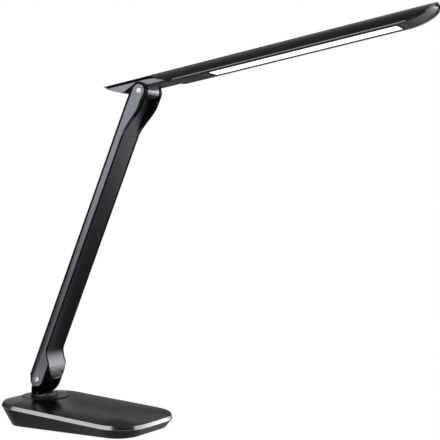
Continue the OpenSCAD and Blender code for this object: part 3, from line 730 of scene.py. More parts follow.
class Wardrobe:
    """All finishes of the lamp, built once each."""

    FINISHES: tuple[Finish, ...] = (
        Finish("gloss_black", (0.004, 0.0042, 0.005), 0.21, specular=0.35, grain_bump=0.0,
               patch_depth=0.03),
        Finish("bright_trim", (0.50, 0.51, 0.54), 0.20, metallic=1.0, grain_bump=0.0),
        Finish("satin_black", (0.004, 0.0045, 0.007), 0.34, specular=0.14),
        Finish("print_grey", (0.09, 0.09, 0.095), 0.5, grain_bump=0.0),
        Finish("cast_weight", (0.10, 0.10, 0.10), 0.75, metallic=0.8, grain_bump=0.4,
               grain_scale=600.0),
        Finish("rubber_black", (0.012, 0.012, 0.012), 0.8, specular=0.3),
        Finish("steel", (0.55, 0.55, 0.57), 0.3, metallic=1.0, grain_bump=0.01),
        Finish("board_green", (0.02, 0.12, 0.06), 0.45),
        Finish("spring_brass", (0.62, 0.43, 0.17), 0.28, metallic=1.0, grain_bump=0.01),
        Finish("dark_disc", (0.004, 0.0045, 0.006), 0.30, specular=0.22, grain_bump=0.0),
        Finish("grey_plastic", (0.014, 0.0145, 0.018), 0.34, specular=0.3),
        Finish("deep_black", (0.003, 0.003, 0.0035), 0.25, specular=0.08),
        Finish("grey_metal", (0.26, 0.27, 0.31), 0.34, metallic=1.0, grain=Grain.ALONG_ARM,
               grain_bump=0.02, grain_scale=1500.0, streak_depth=0.06),
        # Front cover: the colour runs from pale near the lower lip to dark up the arm, a painted
        # highlight round the lower bulge.
        Finish("dark_metal", (0.93, 0.95, 1.0), 0.38, metallic=1.0, grain=Grain.ALONG_ARM,
               grain_bump=0.05, grain_scale=1200.0, streak_depth=0.1,
               painted_light_tones=(0.44, 0.105), run=(8.0, 44.0)),
        # Near-white metal for the faces round the cover's lower lip: a painted highlight on that edge.
        Finish("lip_metal", (0.93, 0.94, 0.97), 0.34, metallic=1.0, grain_bump=0.0),
        # Metal for the spine's forward faces, where its grey is a painted reflection.
        Finish("arm_metal", (0.30, 0.305, 0.335), 0.42, metallic=1.0, grain=Grain.ALONG_ARM,
               grain_bump=0.05, grain_scale=1200.0, streak_depth=0.1),
        # Pale metal: painted highlights on the edge lines of head and cheeks, and painted light on the
        # head's hinge flanks.
        Finish("pale_metal", (0.28, 0.29, 0.33), 0.30, metallic=1.0, grain_bump=0.0),
        # Nose of the head: the colour runs from near black to pale metal towards the tip, a painted
        # sheen.
        Finish("nose_satin", (0.96, 0.97, 1.0), 0.36, metallic=1.0, grain=Grain.ALONG_HEAD,
               grain_bump=0.0, streak_depth=0.0, painted_light_tones=(0.01, 0.62), run=(322.0, 358.0)),
        Finish("collar_grey", (0.09, 0.092, 0.10), 0.30, metallic=1.0, grain_bump=0.0),
        Finish("bright_chrome", (0.98, 0.98, 0.99), 0.46, metallic=1.0, grain_bump=0.0),
        Finish("friction_pale", (0.55, 0.52, 0.42), 0.5),
        Finish("shell_metal", (0.004, 0.005, 0.009), 0.22, specular=0.13, grain=Grain.ALONG_HEAD,
               grain_bump=0.0, grain_scale=1500.0, streak_depth=0.02),
        Finish("light_panel", (1.0, 1.0, 1.0), 0.5, glow=1.2, grain_bump=0.0),
        Finish("diode_yellow", (0.85, 0.62, 0.12), 0.35, grain_bump=0.0),
        Finish("clear_guide", (0.80, 0.85, 0.87), 0.12),
        Finish("white_sheet", (0.88, 0.88, 0.86), 0.5),
        Finish("raw_aluminium", (0.6, 0.61, 0.63), 0.35, metallic=1.0),
    )

    def __init__(self) -> None:
        """Builds every finish."""
        self.made = {finish.name: finish.build() for finish in self.FINISHES}
        self.slots = {row["node"]: row["material_slot"] for row in frame["record"]["subparts"]}

    def dress(self, piece: bpy.types.Object, name: str, *others: str) -> None:
        """Gives a piece its finish, and further ones that some of its faces may take.

        Args:
            piece: The object to dress.
            name: The finish's name, which is also its slot in the record where it has one.
            *others: Names of the further finishes.
        """
        piece.data.materials.clear()
        for finish in (name, *others):
            piece.data.materials.append(self.made[finish])

    def dress_nodes(self) -> None:
        """Gives every solid of the lamp the finish of its slot."""
        for node, solid in NODES.items():
            self.dress(solid, self.slots[node])
            log.info("dressed %s in %s", node, self.slots[node])


# ---------------------------------------------------------------- shaping tools

def settle(piece: bpy.types.Object) -> None:
    """Applies all modifiers of a piece, so that its mesh is final."""
    graph = bpy.context.evaluated_depsgraph_get()
    mesh = bpy.data.meshes.new_from_object(piece.evaluated_get(graph))
    piece.modifiers.clear()
    old = piece.data
    piece.data = mesh
    bpy.data.meshes.remove(old)


@dataclass
class RepeatTool:
    """Geometry node tool that lays out a row of equal blocks, each a little off its place."""

    name: str = "row of blocks"
    group: bpy.types.NodeTree | None = None
    inputs: dict[str, str] = field(default_factory=dict)

    def build(self) -> None:
        """Makes the node group with its named inputs."""
        self.group, given, result = new_group(
            self.name, "GeometryNodeTree",
            (("Count", "Int"), ("Start", "Vector"), ("Step", "Vector"), ("Size", "Vector"),
             ("Spread", "Float"), ("Seed", "Int"), ("Finish", "Material")),
            (("Geometry", "Geometry"),))
        self.inputs = {socket.name: socket.identifier for socket in self.group.interface.items_tree
                       if socket.in_out == "INPUT"}
        row = add_node(self.group, "GeometryNodeMeshLine", mode="OFFSET")
        block = add_node(self.group, "GeometryNodeMeshCube")
        moved = add_node(self.group, "GeometryNodeSetPosition")
        placed = add_node(self.group, "GeometryNodeInstanceOnPoints")
        solid = add_node(self.group, "GeometryNodeRealizeInstances")
        dressed = add_node(self.group, "GeometryNodeSetMaterial")
        wire(self.group,
             (given.outputs["Count"], row.inputs["Count"]),
             (given.outputs["Start"], row.inputs["Start Location"]),
             (given.outputs["Step"], row.inputs["Offset"]),
             (given.outputs["Size"], block.inputs["Size"]),
             (row.outputs["Mesh"], moved.inputs["Geometry"]),
             (self.shift(given), moved.inputs["Offset"]),
             (moved.outputs["Geometry"], placed.inputs["Points"]),
             (block.outputs["Mesh"], placed.inputs["Instance"]),
             (placed.outputs["Instances"], solid.inputs["Geometry"]),
             (solid.outputs["Geometry"], dressed.inputs["Geometry"]),
             (given.outputs["Finish"], dressed.inputs["Material"]),
             (dressed.outputs["Geometry"], result.inputs["Geometry"]))

    def shift(self, given: bpy.types.Node) -> bpy.types.NodeSocket:
        """Adds the small random shift along the row.

        Args:
            given: The group input node.

        Returns:
            The socket that carries the shift of each block.
        """
        chance = add_node(self.group, "FunctionNodeRandomValue", data_type="FLOAT")
        middle = add_node(self.group, "ShaderNodeMath", {1: NOISE_MEAN}, operation="SUBTRACT")
        much = add_node(self.group, "ShaderNodeMath", operation="MULTIPLY")
        along = add_node(self.group, "ShaderNodeVectorMath", operation="SCALE")
        number = next(socket for socket in chance.outputs if socket.enabled)
        wire(self.group,
             (given.outputs["Seed"], chance.inputs["Seed"]),
             (number, middle.inputs[0]),
             (middle.outputs[0], much.inputs[0]),
             (given.outputs["Spread"], much.inputs[1]),
             (given.outputs["Step"], along.inputs[0]),
             (much.outputs[0], along.inputs["Scale"]))
        return along.outputs[0]

    def lay(self, name: str, material: bpy.types.Material, place: Matrix,
            **values: object) -> bpy.types.Object:
        """Makes one row as a plain mesh with its place in the mesh.

        Args:
            name: Name of the new object.
            material: Material of the blocks.
            place: Matrix that takes the row to its place.
            **values: Values of the named inputs.

        Returns:
            The new piece.
        """
        if self.group is None:
            self.build()
        piece = link_mesh(name, bpy.data.meshes.new(name))
        tool = piece.modifiers.new("row", "NODES")
        tool.node_group = self.group
        tool[self.inputs["Finish"]] = material
        for label, value in values.items():
            tool[self.inputs[label]] = value
        settle(piece)
        piece.data.transform(place)
        return piece


REPEATS = RepeatTool()


def smooth_by_angle(piece: bpy.types.Object, degrees: float) -> None:
    """Shades a piece smooth, with sharp edges above an angle."""
    mesh = piece.data
    mesh.polygons.foreach_set("use_smooth", [True] * len(mesh.polygons))
    mesh.set_sharp_from_angle(angle=math.radians(degrees))


def cut_away(piece: bpy.types.Object, cutter: bpy.types.Object) -> None:
    """Cuts one closed mesh out of another and removes the cutter."""
    boolean = piece.modifiers.new("cut", "BOOLEAN")
    boolean.object = cutter
    boolean.operation = "DIFFERENCE"
    boolean.solver = "EXACT"
    settle(piece)
    bpy.data.objects.remove(cutter)


def eased_copy(node: str, width: float = 0.0, segments: int = 2) -> bpy.types.Object:
    """Copies a solid, with its hard edges eased if a width is given, to stand for it.

    Args:
        node: Name of the solid.
        width: Bevel width in millimetres, 0 for none.
        segments: Steps across each bevel.

    Returns:
        The new piece.
    """
    mesh = NODES[node].data.copy()
    piece = link_mesh(node + "_eased", mesh)
    made = bmesh.new()
    made.from_mesh(mesh)
    bmesh.ops.remove_doubles(made, verts=made.verts, dist=WELD_REACH)
    bmesh.ops.dissolve_limit(
        made, angle_limit=math.radians(FLAT_ANGLE), verts=made.verts, edges=made.edges)
    made.to_mesh(mesh)
    made.free()
    if width > 0.0:
        bevel = piece.modifiers.new("ease", "BEVEL")
        bevel.width = mm(width)
        bevel.segments = segments
        bevel.limit_method = "ANGLE"
        bevel.angle_limit = math.radians(EDGE_ANGLE)
        bevel.use_clamp_overlap = True
        settle(piece)
    smooth_by_angle(piece, EDGE_ANGLE)
    return piece


def score(piece: bpy.types.Object, normal: Vector, height: float) -> None:
    """Splits faces of a head piece along a plane, so that each side can have its finish.

    Args:
        piece: The piece.
        normal: Normal of the plane in the head frame.
        height: Distance of the plane from the upper pivot along its normal, in millimetres.
    """
    reach = STANCE.head_frame()
    made = bmesh.new()
    made.from_mesh(piece.data)
    bmesh.ops.bisect_plane(
        made, geom=made.verts[:] + made.edges[:] + made.faces[:], dist=SPLIT_REACH,
        plane_co=reach @ (normal * mm(height)), plane_no=reach.to_3x3() @ normal)
    made.to_mesh(piece.data)
    made.free()


def stand_in(piece: bpy.types.Object, node: str, body: Body) -> None:
    """Lets a finished piece ride on a body and stand for a solid.

    Args:
        piece: The piece.
        node: Name of the solid that it stands for.
        body: The body that it rides on.
    """
    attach(piece, body.value)
    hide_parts(node)
    log.info("made %s", piece.name)


Picker = Callable[[Vector, Vector], int]


def pick_finishes(piece: bpy.types.Object, judge: Matrix, pick: Picker) -> None:
    """Gives each face of a piece one of its finishes by where it lies and looks.

    Args:
        piece: The piece, dressed in all its finishes.
        judge: Matrix of the frame that the faces are judged in.
        pick: Takes a face's centre in millimetres and its normal, both in that frame, and
            returns the number of the finish.
    """
    back = judge.inverted()
    turn = back.to_3x3()
    for face in piece.data.polygons:
        face.material_index = pick(in_mm(back @ face.center), turn @ face.normal)


# ---------------------------------------------------------------- base

@dataclass
class Base:
    """Wedge base: domed cover, chamfered strip, undercut walls and the touch marks.

    Insets run inwards from the rim. The shading values are the angles in degrees above
    which an edge of the piece stays sharp.
    """

    wardrobe: Wardrobe
    length: float = 201.0
    width: float = 128.0
    setback: float = 36.0
    corner: float = 38.0
    least_corner: float = 3.0
    bow: float = 2.0
    rim_rear: float = 25.7
    rim_front: float = 11.4
    inset: float = 12.4
    front_inset: float = 7.4
    wall: float = 2.0
    wall_inset: float = 0.5
    wall_ease: float = 0.45
    strip_height: float = 4.5
    strip_lean: float = 2.0
    dome_rise: float = 5.4
    cover_gap: float = 0.12
    cover_skirt: float = 1.2
    cover_ease: float = 0.25
    crown_half: float = 4.0
    foot_height: float = 1.5
    foot_ease: float = 0.3
    disc_radius: float = 29.5
    pocket_floor: float = 29.5
    pocket_height: float = 8.0
    play: float = 0.3
    socket_z: float = 11.0
    socket_hole_r: float = 4.7
    socket_cut: tuple[float, float] = (-4.0, 22.0)
    marks: tuple[tuple[float, float], ...] = ((98.0, -20.0), (111.0, -29.0), (100.0, 7.0), (105.0, 31.0))
    mark_inner: float = 3.4
    mark_outer: float = 4.1
    mark_low: float = 0.01
    mark_high: float = 0.05
    cover_shading: float = 28.0
    strip_shading: float = 12.0
    wall_shading: float = 30.0

    def slope(self) -> float:
        """Angle of the rim plane below level, in radians."""
        return math.atan((self.rim_rear - self.rim_front) / self.length)

    def rim_length(self) -> float:
        """Length of the base along the sloping rim plane."""
        return self.length / math.cos(self.slope())

    def on_rim(self, x: float, y: float, height: float) -> Vector:
        """Point above the rim plane, where x runs along the plane from the rear edge."""
        a = self.slope()
        return Vector((
            mm(-self.setback + x * math.cos(a) + height * math.sin(a)),
            mm(y),
            mm(self.rim_rear - x * math.sin(a) + height * math.cos(a))))

    def dome(self, inset: float) -> float:
        """Height of the dome above the rim plane at a distance in from the rim."""
        run = self.width / 2 - self.strip_lean
        share = min(1.0, max(0.0, inset - self.strip_lean) / run)
        return self.strip_height + self.dome_rise * (1.0 - (1.0 - share) ** 2)

    def outline(self, rear: float, front: float, half: float, radius: float,
                bow: float) -> list[tuple[float, float]]:
        """Rounded oblong with a slightly bowed front, always with the same point count.

        Args:
            rear: Rear edge.
            front: Front edge.
            half: Half width.
            radius: Corner radius.
            bow: How far the middle of the front stands forward.

        Returns:
            The points, counter-clockwise seen from above.
        """
        arc_steps, side_steps, end_steps = 16, 14, 12
        middle = (rear + front) / 2
        corners = [(front, -half, -90.0), (front, half, 0.0), (rear, half, 90.0), (rear, -half, 180.0)]
        centres = [(x - math.copysign(radius, x - middle), y - math.copysign(radius, y), turn)
                   for x, y, turn in corners]
        points: list[tuple[float, float]] = []
        for k, (cx, cy, turn) in enumerate(centres):
            for i in range(arc_steps + 1):
                a = math.radians(turn + 90.0 * i / arc_steps)
                points.append((cx + radius * math.cos(a), cy + radius * math.sin(a)))
            next_x, next_y, _ = centres[(k + 1) % len(centres)]
            a = math.radians(turn + 90.0)
            start = points[-1]
            stop = (next_x + radius * math.cos(a), next_y + radius * math.sin(a))
            steps = end_steps if k % 2 == 0 else side_steps
            for i in range(1, steps):
                t = i / steps
                points.append(tuple(p + (q - p) * t for p, q in zip(start, stop)))
        return self.bowed(points, front, half, radius, bow)

    @staticmethod
    def bowed(points: Sequence[tuple[float, float]], front: float, half: float, radius: float,
              bow: float) -> list[tuple[float, float]]:
        """Bows the front of an outline forward.

        Args:
            points: Points of the outline.
            front: Front edge.
            half: Half width.
            radius: Corner radius.
            bow: How far the middle of the front moves.

        Returns:
            The moved points.
        """
        corner_share, least = 0.3, 1.0
        flat = max(half - radius * corner_share, least)
        reach = max(radius, least)
        moved = []
        for x, y in points:
            near = min(1.0, max(0.0, (x - (front - reach)) / reach))
            moved.append((x + bow * near * max(0.0, 1.0 - (y / flat) ** 2), y))
        return moved

    def rim_ring(self, inset: float, height: float) -> list[Vector]:
        """Ring of the plan outline set in and lifted off the rim plane."""
        radius = max(self.corner - inset, self.least_corner)
        flat = self.outline(inset, self.rim_length() - inset, self.width / 2 - inset, radius, self.bow)
        return [self.on_rim(x, y, height) for x, y in flat]

    def foot_ring(self, inset: float, z: float) -> list[Vector]:
        """Ring of the foot outline at a height above the table."""
        rear = -self.setback + self.inset + inset
        front = self.length - self.setback - self.front_inset - inset
        radius = max(self.corner - self.inset - inset, self.least_corner)
        flat = self.outline(rear, front, self.width / 2 - self.inset - inset, radius, 0.0)
        return [Vector((mm(x), mm(y), mm(z))) for x, y in flat]

    def cover(self) -> bpy.types.Object:
        """Makes the smooth domed cover above the chamfered strip.

        Returns:
            The cover piece.
        """
        steps, closeness, inner_every, inner_shift, hair = 18, 1.25, 4, 0.5, 0.02
        lean, top = self.strip_lean, self.strip_height
        low = lean + self.cover_gap
        reach = self.width / 2 - self.crown_half - lean
        runs = [lean + reach * (i / steps) ** closeness for i in range(1, steps + 1)]
        outer = [
            self.rim_ring(low, top - self.cover_skirt),
            self.rim_ring(low + hair, top - self.cover_ease),
            self.rim_ring(low + self.cover_ease, self.dome(low) - hair)]
        outer += [self.rim_ring(run, self.dome(run)) for run in runs[1:]]
        inner = [self.rim_ring(run + inner_shift, self.dome(run) - self.wall)
                 for run in reversed(runs[1::inner_every])]
        inner.append(self.rim_ring(lean + self.wall, top - self.wall))
        piece = bowl("domed_cover", outer, inner)
        cut_away(piece, self.pocket())
        smooth_by_angle(piece, self.cover_shading)
        return piece

    def strip(self) -> bpy.types.Object:
        """Makes the bright chamfered strip around the cover.

        Returns:
            The strip piece.
        """
        top, lean = self.strip_height, self.strip_lean
        # Inset and height of each corner, up the eased chamfer and down again behind it.
        section = (
            (0.30, 0.02), (0.08, 0.12), (0.05, 0.35),
            (lean - 0.10, top - 0.28), (lean - 0.02, top - 0.10), (lean + 0.10, top - 0.06),
            (lean + 0.10, top - 1.4), (self.wall, 0.02))
        piece = hoop("bright_strip", [self.rim_ring(inset, height) for inset, height in section])
        smooth_by_angle(piece, self.strip_shading)
        return piece

    def touch_mark(self, index: int, x: float, y: float) -> bpy.types.Object:
        """Makes one plain printed ring on the dome, around a touch point.

        Args:
            index: Number of the mark.
            x: Place along X in millimetres.
            y: Place along Y in millimetres.

        Returns:
            The mark piece.
        """
        steps = 32
        along = (x + self.setback) / math.cos(self.slope())
        rings = []
        for radius, lift in (
                (self.mark_inner, self.mark_low), (self.mark_inner, self.mark_high),
                (self.mark_outer, self.mark_high), (self.mark_outer, self.mark_low)):
            ring = []
            for u, v in circle(radius, steps, (along, y)):
                inset = min(self.width / 2 - abs(v), u, self.rim_length() - u)
                ring.append(self.on_rim(u, v, self.dome(inset) + lift))
            rings.append(ring)
        return hoop(f"touch_mark_{index}", rings)

    def pocket(self) -> bpy.types.Object:
        """Round cutter for the recess that the swivel disc drops into."""
        steps = 96
        ring = circle(self.disc_radius + self.play, steps)
        heights = (self.pocket_floor, self.pocket_floor + self.pocket_height)
        return rod("pocket", [[Vector((mm(x), mm(y), mm(z))) for x, y in ring] for z in heights])

    def walls(self) -> bpy.types.Object:
        """Makes the undercut side walls below the cover.

        Returns:
            The wall piece.
        """
        piece = hoop("undercut_walls", [
            self.foot_ring(self.wall, self.foot_height),
            self.foot_ring(self.foot_ease, self.foot_height),
            self.foot_ring(0.0, self.foot_height + self.foot_ease),
            self.rim_ring(self.wall_inset, -self.wall_ease),
            self.rim_ring(self.wall_inset, 0.0),
            self.rim_ring(self.wall, 0.0)])
        cut_away(piece, self.socket_hole())
        smooth_by_angle(piece, self.wall_shading)
        return piece

    def socket_hole(self) -> bpy.types.Object:
        """Cutter for the round hole that the power socket looks out of."""
        steps = 40
        ring = circle(self.socket_hole_r, steps, (0.0, self.socket_z))
        places = [shift - self.setback for shift in self.socket_cut]
        return rod("socket_hole", [[Vector((mm(x), mm(y), mm(z))) for y, z in ring] for x in places])

    def build(self) -> None:
        """Makes and dresses the base pieces."""
        cover, strip, walls = self.cover(), self.strip(), self.walls()
        marks = [self.touch_mark(i, x, y) for i, (x, y) in enumerate(self.marks)]
        finishes = [(cover, "gloss_black"), (strip, "bright_trim"), (walls, "satin_black")]
        finishes += [(mark, "print_grey") for mark in marks]
        for piece, finish in finishes:
            self.wardrobe.dress(piece, finish)
            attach(piece, Body.BASE.value)
            log.info("made %s", piece.name)
        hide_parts("base_top_cover")
        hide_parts("base_housing")


# ---------------------------------------------------------------- head

@dataclass
class Head:
    """Half-round head: rim lines that are painted highlights, frame of the light panel, hinge parts with
    painted light and shade, and diodes.

    Lengths run from the upper pivot towards the tip, heights from the pivot towards the
    crown. Hinge faces below keel_line, and those where the z of their normal is below
    underside, are dark as painted shade, and their flanks pale as painted light.
    Values ending in short say how far a line stops before the end that it runs to, and
    those ending in high give its top over the shell's edge.
    """

    wardrobe: Wardrobe
    radius: float = 17.5
    wall: float = 2.0
    crown: float = 18.55
    rim: float = 2.65
    front: float = 358.0
    scoop: float = 40.0
    root: float = 47.0
    tail: float = 56.0
    scoop_end: float = 6.0
    leaf_edge: float = 16.05
    leaf_rise: float = 0.5
    panel_start: float = 90.0
    panel_length: float = 226.0
    panel_half: float = 10.9
    window_lap: float = 1.0
    window_thick: float = 0.2
    window_near: float = 9.2
    window_far: float = 10.4
    window_low: float = 2.74
    barrel_radius: float = 9.6
    underside: float = -0.45
    keel_line: float = 6.3
    diode_count: int = 36
    diode_height: float = 6.0
    diode_size: tuple[float, float, float] = (2.8, 0.5, 1.6)
    diode_sink: float = 0.1
    diode_spread: float = 0.04
    diode_seed: int = 7
    line_low: float = 0.4
    line_high: float = 1.4
    line_end: float = 328.0
    line_proud: float = 0.06
    line_ease: float = 0.1
    line_depth: float = 0.2
    line_gap: float = 0.02
    lip_short: float = 0.7
    tip_start: float = 349.0
    tip_short: float = 0.15
    tip_high: float = 0.8
    tail_short: float = 0.3
    leaf_short: float = 1.0
    leaf_high: float = 1.3
    band_shading: float = 50.0

    def edge(self, s: float) -> float:
        """Height of the shell's lower edge at a distance from the pivot."""
        if s < self.scoop_end:
            share = (self.scoop_end - s) / (self.scoop_end + self.tail)
            return self.leaf_edge + self.leaf_rise * share
        share = (s - self.front + self.scoop) / self.scoop
        if share <= 0.0:
            return self.rim
        return self.rim + (self.crown - self.rim) * (1.0 - math.sqrt(max(0.0, 1.0 - share * share)))

    def stations(self) -> list[float]:
        """Distances from the pivot along one side, from the tail to the tip."""
        straight_steps, bend_steps = 8, 24
        start = self.front - self.scoop
        tail_run = self.scoop_end + self.tail - self.leaf_short
        rear = [self.tail_short - self.tail + tail_run * i / straight_steps
                for i in range(straight_steps + 1)]
        plain = [self.root + (start - self.root) * i / straight_steps for i in range(straight_steps)]
        bend = [start + self.scoop * math.sin(math.radians(90.0 * i / bend_steps))
                for i in range(bend_steps)]
        return rear + plain + bend

    def edge_band(self, name: str, side: float, since: float, until: float,
                  section: Sequence[tuple[float, float]]) -> bpy.types.Object:
        """Makes a thin band along one side of the shell's edge, for a painted highlight on that edge.

        Args:
            name: Name of the new object.
            side: -1 for the side the head turns to the camera, 1 for the far side.
            since: Distance from the pivot where the band starts.
            until: Distance from the pivot where it ends.
            section: Corners of the band: distance out of the shell, height over the edge.

        Returns:
            The band piece.
        """
        middle = self.crown - self.radius
        stations = [since] + [s for s in self.stations() if since < s < until] + [until]
        path: list[tuple[Vector, Vector]] = []
        for s in stations:
            tall = min(self.radius, self.edge(s) - middle)
            turn = side * math.acos(tall / self.radius)
            outward = Vector((0.0, math.sin(turn), math.cos(turn)))
            path.append((Vector((s, 0.0, middle)) + outward * self.radius, outward))
        rings = []
        for i, (point, outward) in enumerate(path):
            before, after = path[max(0, i - 1)][0], path[min(len(path) - 1, i + 1)][0]
            along = (after - before).normalized()
            upward = along.cross(outward).normalized() * side
            ring = [point + outward * out + upward * up for out, up in section]
            rings.append([STANCE.head_frame() @ mm(corner) for corner in ring])
        piece = rod(name, rings)
        smooth_by_angle(piece, self.band_shading)
        return piece

    def thin_section(self, toe: float, proud: float, high: float) -> list[tuple[float, float]]:
        """Section of a thin line that starts at the very edge of the shell.

        Args:
            toe: How far its lowest corner stands out of the shell.
            proud: How far its face stands out of the shell.
            high: Height of its top over the edge.

        Returns:
            Corners as distance out of the shell and height over the edge.
        """
        low, deep = self.line_gap, -self.line_depth
        return [(toe, low), (proud, self.line_ease), (proud, high), (deep, high), (deep, low)]

    def near_section(self) -> list[tuple[float, float]]:
        """Section of the line along the near side, which lies on the shell's face."""
        low, high, ease = self.line_low, self.line_high, self.line_ease
        proud, deep = self.line_proud, -self.line_depth
        return [(0.0, low), (proud, low + ease), (proud, high - ease), (0.0, high),
                (deep, high), (deep, low)]

    def lip_section(self) -> list[tuple[float, float]]:
        """Section of the line along the far side, which wraps the edge from outside to inside."""
        proud, toe, tuck, under, top, lap = 0.05, 0.15, -0.12, -0.03, 0.9, 1.0
        inside = -lap - self.wall
        return [(proud, toe), (tuck, under), (inside, under), (inside, top), (-toe, top)]

    def build(self) -> None:
        """Makes and dresses the head pieces."""
        bands = [
            self.edge_band("near_rim_highlight", -1.0, self.root, self.line_end, self.near_section()),
            self.edge_band("far_rim_highlight", 1.0, self.root, self.front - self.lip_short,
                           self.lip_section())]
        tip = self.thin_section(toe=0.05, proud=self.line_proud, high=self.tip_high)
        leaf = self.thin_section(toe=0.03, proud=0.05, high=self.leaf_high)
        bands += [self.edge_band(f"tip_highlight_{i}", side, self.tip_start, self.front - self.tip_short, tip)
                  for i, side in enumerate(SIDES)]
        bands += [self.edge_band(f"tail_highlight_{i}", side, self.tail_short - self.tail,
                                 self.scoop_end - self.leaf_short, leaf)
                  for i, side in enumerate(SIDES)]
        # Pale metal on these bands is a painted highlight on the shell's rounded edge.
        dressed = [(band, "pale_metal") for band in bands]
        dressed.append((self.window_frame(), "satin_black"))
        for piece, finish in dressed:
            self.wardrobe.dress(piece, finish)
            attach(piece, Body.HEAD.value)
            log.info("made %s", piece.name)
        for node in ("hinge_housing", "under_cover"):
            self.flanks_with_painted_light(node)
        self.diodes()

    def window_frame(self) -> bpy.types.Object:
        """Makes the thin dark frame that laps over the edge of the light panel.

        Returns:
            The frame piece.
        """
        low, high = self.window_low, self.window_low + self.window_thick
        lap, rail = self.window_lap, 2.0 * self.window_lap
        start, stop = self.panel_start - lap, self.panel_start + self.panel_length + lap
        outer, near, far = self.panel_half + lap, self.window_near, self.window_far
        rings = []
        for x0, x1, y0, y1, z in (
                (start, stop, -outer, outer, low), (start, stop, -outer, outer, high),
                (start + rail, stop - rail, -near, far, high),
                (start + rail, stop - rail, -near, far, low)):
            corners = [(x0, y0), (x1, y0), (x1, y1), (x0, y1)]
            rings.append([STANCE.head_frame() @ mm(Vector((x, y, z))) for x, y in corners])
        return hoop("window_frame", rings)

    def diodes(self) -> None:
        """Sets the two rows of light diodes into the boards beside the light guide."""
        step = self.panel_length / self.diode_count
        out = self.panel_half + self.diode_sink
        for i, side in enumerate(SIDES):
            start = (self.panel_start + step / 2.0, side * out, self.diode_height)
            piece = REPEATS.lay(
                f"diodes_{i}", self.wardrobe.made["diode_yellow"], STANCE.head_frame(),
                Count=self.diode_count, Start=[mm(v) for v in start], Step=[mm(step), 0.0, 0.0],
                Size=[mm(v) for v in self.diode_size], Spread=self.diode_spread,
                Seed=self.diode_seed + i)
            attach(piece, Body.HEAD.value)

    def flanks_with_painted_light(self, node: str) -> None:
        """Shows a part of the head with pale metal flanks as painted light, a dark grey underside and
        keel as painted shade, and a nose whose colour runs paler towards the tip as a painted sheen.

        Args:
            node: Name of the solid that the new piece stands for.
        """
        # Pale flanks are painted light, dark faces painted shade, the nose a painted sheen.
        flank, dark, nose = 0, 1, 2

        def pick(centre: Vector, normal: Vector) -> int:
            """Number of a face's finish."""
            barrel = math.hypot(centre.x, centre.z) < self.barrel_radius and centre.x > 0.0
            low = normal.z < self.underside and not barrel
            keel = centre.z < self.keel_line and centre.x > 0.0 and not barrel
            if centre.x > self.front - self.scoop:
                return nose
            return dark if low or keel or centre.x > self.root else flank

        piece = eased_copy(node)
        score(piece, Vector((0.0, 0.0, 1.0)), self.keel_line)
        score(piece, Vector((1.0, 0.0, 0.0)), self.barrel_radius)
        self.wardrobe.dress(piece, "pale_metal", "grey_plastic", "nose_satin")
        pick_finishes(piece, STANCE.head_frame(), pick)
        stand_in(piece, node, Body.HEAD)


# ---------------------------------------------------------------- arm

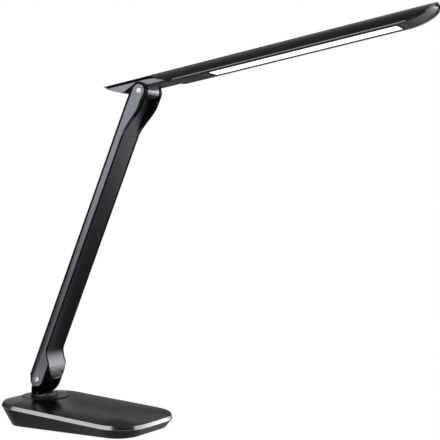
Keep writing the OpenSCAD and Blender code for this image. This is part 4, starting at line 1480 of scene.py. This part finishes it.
@dataclass
class Arm:
    """Spine with grey painted on its recess floor and cheek faces as a painted reflection, the side
    panels and the front cover of the arm.

    Heights run from the lower pivot up the arm, and forward is away from the pivot line.
    The cheeks swell forward over the top swell millimetres, and stand fully forward from
    full millimetres below the upper pivot. Their grey faces, a painted reflection, end near_grey
    and far_grey millimetres below it; above them the cheek faces stay black as painted shade.
    """

    wardrobe: Wardrobe
    length: float = STANCE.arm_length
    front_back: float = 1.5
    reach: float = 9.8
    swell: float = 56.0
    swell_margin: float = 1.0
    full: float = 10.0
    slot_half: float = 12.25
    floor_reach: float = 0.3
    near_grey: float = 32.0
    far_grey: float = 44.0
    line_from: float = -46.0
    line_to: float = -6.0
    line_width: float = 0.7
    line_depth: float = 0.3
    line_proud: float = 0.04
    front_facing: float = 0.9
    lip_top: float = 26.0
    lip_width: float = 0.7
    lip_facing: float = 0.3
    edge_width: float = 0.55
    panel_edge: float = 0.5
    panel_segments: int = 3
    line_shading: float = 30.0

    def face(self, s: float) -> float:
        """Front face of the cheeks, forward of the pivot line, at a height on the arm."""
        share = min(1.0, max(0.0, (s - self.length + self.swell) / (self.swell - self.full)))
        return (self.reach + self.front_back) * share * share * (3.0 - 2.0 * share) - self.front_back

    def spine(self) -> None:
        """Shows the black spine with grey metal on the forward faces of its upper end as a painted
        reflection, the curved faces beside them black as painted shade.
        """
        black, grey = 0, 1

        def pick(centre: Vector, normal: Vector) -> int:
            """Number of a face's finish."""
            high = centre.z > self.length - self.swell - self.swell_margin
            level = abs(centre.x + self.front_back) < self.floor_reach
            floor = abs(centre.y) < self.slot_half and level
            top = self.near_grey if centre.y < 0.0 else self.far_grey
            cheek = abs(centre.y) > self.slot_half and centre.z < self.length - top
            # Grey on forward faces is a painted reflection; the curved faces beside them stay black as
            # painted shade.
            return grey if high and (floor or cheek) and normal.x > self.front_facing else black

        piece = eased_copy("arm_spine")
        self.wardrobe.dress(piece, "deep_black", "arm_metal")
        pick_finishes(piece, STANCE.arm_frame(), pick)
        stand_in(piece, "arm_spine", Body.ARM)

    def cheek_highlight(self, name: str, side: float) -> None:
        """Makes the thin bright line along the inner front edge of one cheek, a painted highlight on
        that edge.

        Args:
            name: Name of the new object.
            side: -1 or 1, the side of the cheek across the arm.
        """
        steps, rings = 20, []
        inner, outer = self.slot_half, self.slot_half + self.line_width
        section = [(inner, -self.line_depth), (outer, -self.line_depth),
                   (outer, self.line_proud), (inner, self.line_proud)]
        for i in range(steps + 1):
            s = self.length + self.line_from + (self.line_to - self.line_from) * i / steps
            corners = [Vector((self.face(s) + out, side * y, s)) for y, out in section]
            rings.append([STANCE.arm_frame() @ mm(corner) for corner in corners])
        piece = rod(name, rings)
        smooth_by_angle(piece, self.line_shading)
        self.wardrobe.dress(piece, "pale_metal")
        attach(piece, Body.ARM.value)
        log.info("made %s", piece.name)

    def panel(self, node: str) -> None:
        """Shows a side panel with rounded edges, which give it a soft crown.

        Args:
            node: Name of the solid that the new piece stands for.
        """
        piece = eased_copy(node, self.panel_edge, self.panel_segments)
        self.wardrobe.dress(piece, "grey_metal")
        stand_in(piece, node, Body.ARM)

    def lip_highlight_faces(self, piece: bpy.types.Object) -> list[int]:
        """Sets a narrow line of faces off along the edge of the cover's front, for the painted highlight
        round the lower lip.

        Args:
            piece: The cover.

        Returns:
            Numbers of the new faces that lie round the lower lip.
        """
        back = STANCE.arm_frame().inverted()
        turn = back.to_3x3()
        made = bmesh.new()
        made.from_mesh(piece.data)
        front = [face for face in made.faces if (turn @ face.normal).x > self.lip_facing]
        inset = bmesh.ops.inset_region(
            made, faces=front, thickness=mm(self.lip_width), use_boundary=True,
            use_even_offset=False)
        made.faces.index_update()
        low = [face.index for face in inset["faces"]
               if in_mm(back @ face.calc_center_median()).z < self.lip_top]
        made.to_mesh(piece.data)
        made.free()
        return low

    def cover(self) -> None:
        """Shows the front cover with a bright line round its lower lip, a painted highlight on that
        edge.
        """
        piece = eased_copy("front_cover", self.edge_width)
        lip = self.lip_highlight_faces(piece)
        self.wardrobe.dress(piece, "dark_metal", "lip_metal")
        # The faces round the lower lip take the near-white metal as a painted highlight.
        for i in lip:
            piece.data.polygons[i].material_index = 1
        smooth_by_angle(piece, EDGE_ANGLE)
        stand_in(piece, "front_cover", Body.ARM)

    def build(self) -> None:
        """Makes and dresses the arm pieces."""
        self.spine()
        for name, side in zip(("near_cheek_line", "far_cheek_line"), SIDES):
            self.cheek_highlight(name, side)
        for node in ("near_panel", "far_panel"):
            self.panel(node)
        self.cover()


# ---------------------------------------------------------------- turntable

@dataclass
class Turntable:
    """Neck collar with its edges eased, so that they catch the light."""

    wardrobe: Wardrobe
    edge_width: float = 0.35

    def build(self) -> None:
        """Makes and dresses the collar."""
        piece = eased_copy("neck_collar", self.edge_width)
        self.wardrobe.dress(piece, "collar_grey")
        stand_in(piece, "neck_collar", Body.TURNTABLE)


# ---------------------------------------------------------------- whole lamp

def main() -> None:
    """Builds the camera, the studio and the lamp, and reports each piece."""
    logging.basicConfig(level=logging.INFO, format="%(name)s: %(message)s")
    Viewpoint().build()
    Studio().build()
    wardrobe = Wardrobe()
    wardrobe.dress_nodes()
    Base(wardrobe).build()
    Turntable(wardrobe).build()
    Arm(wardrobe).build()
    Head(wardrobe).build()


if __name__ == "__main__":
    main()
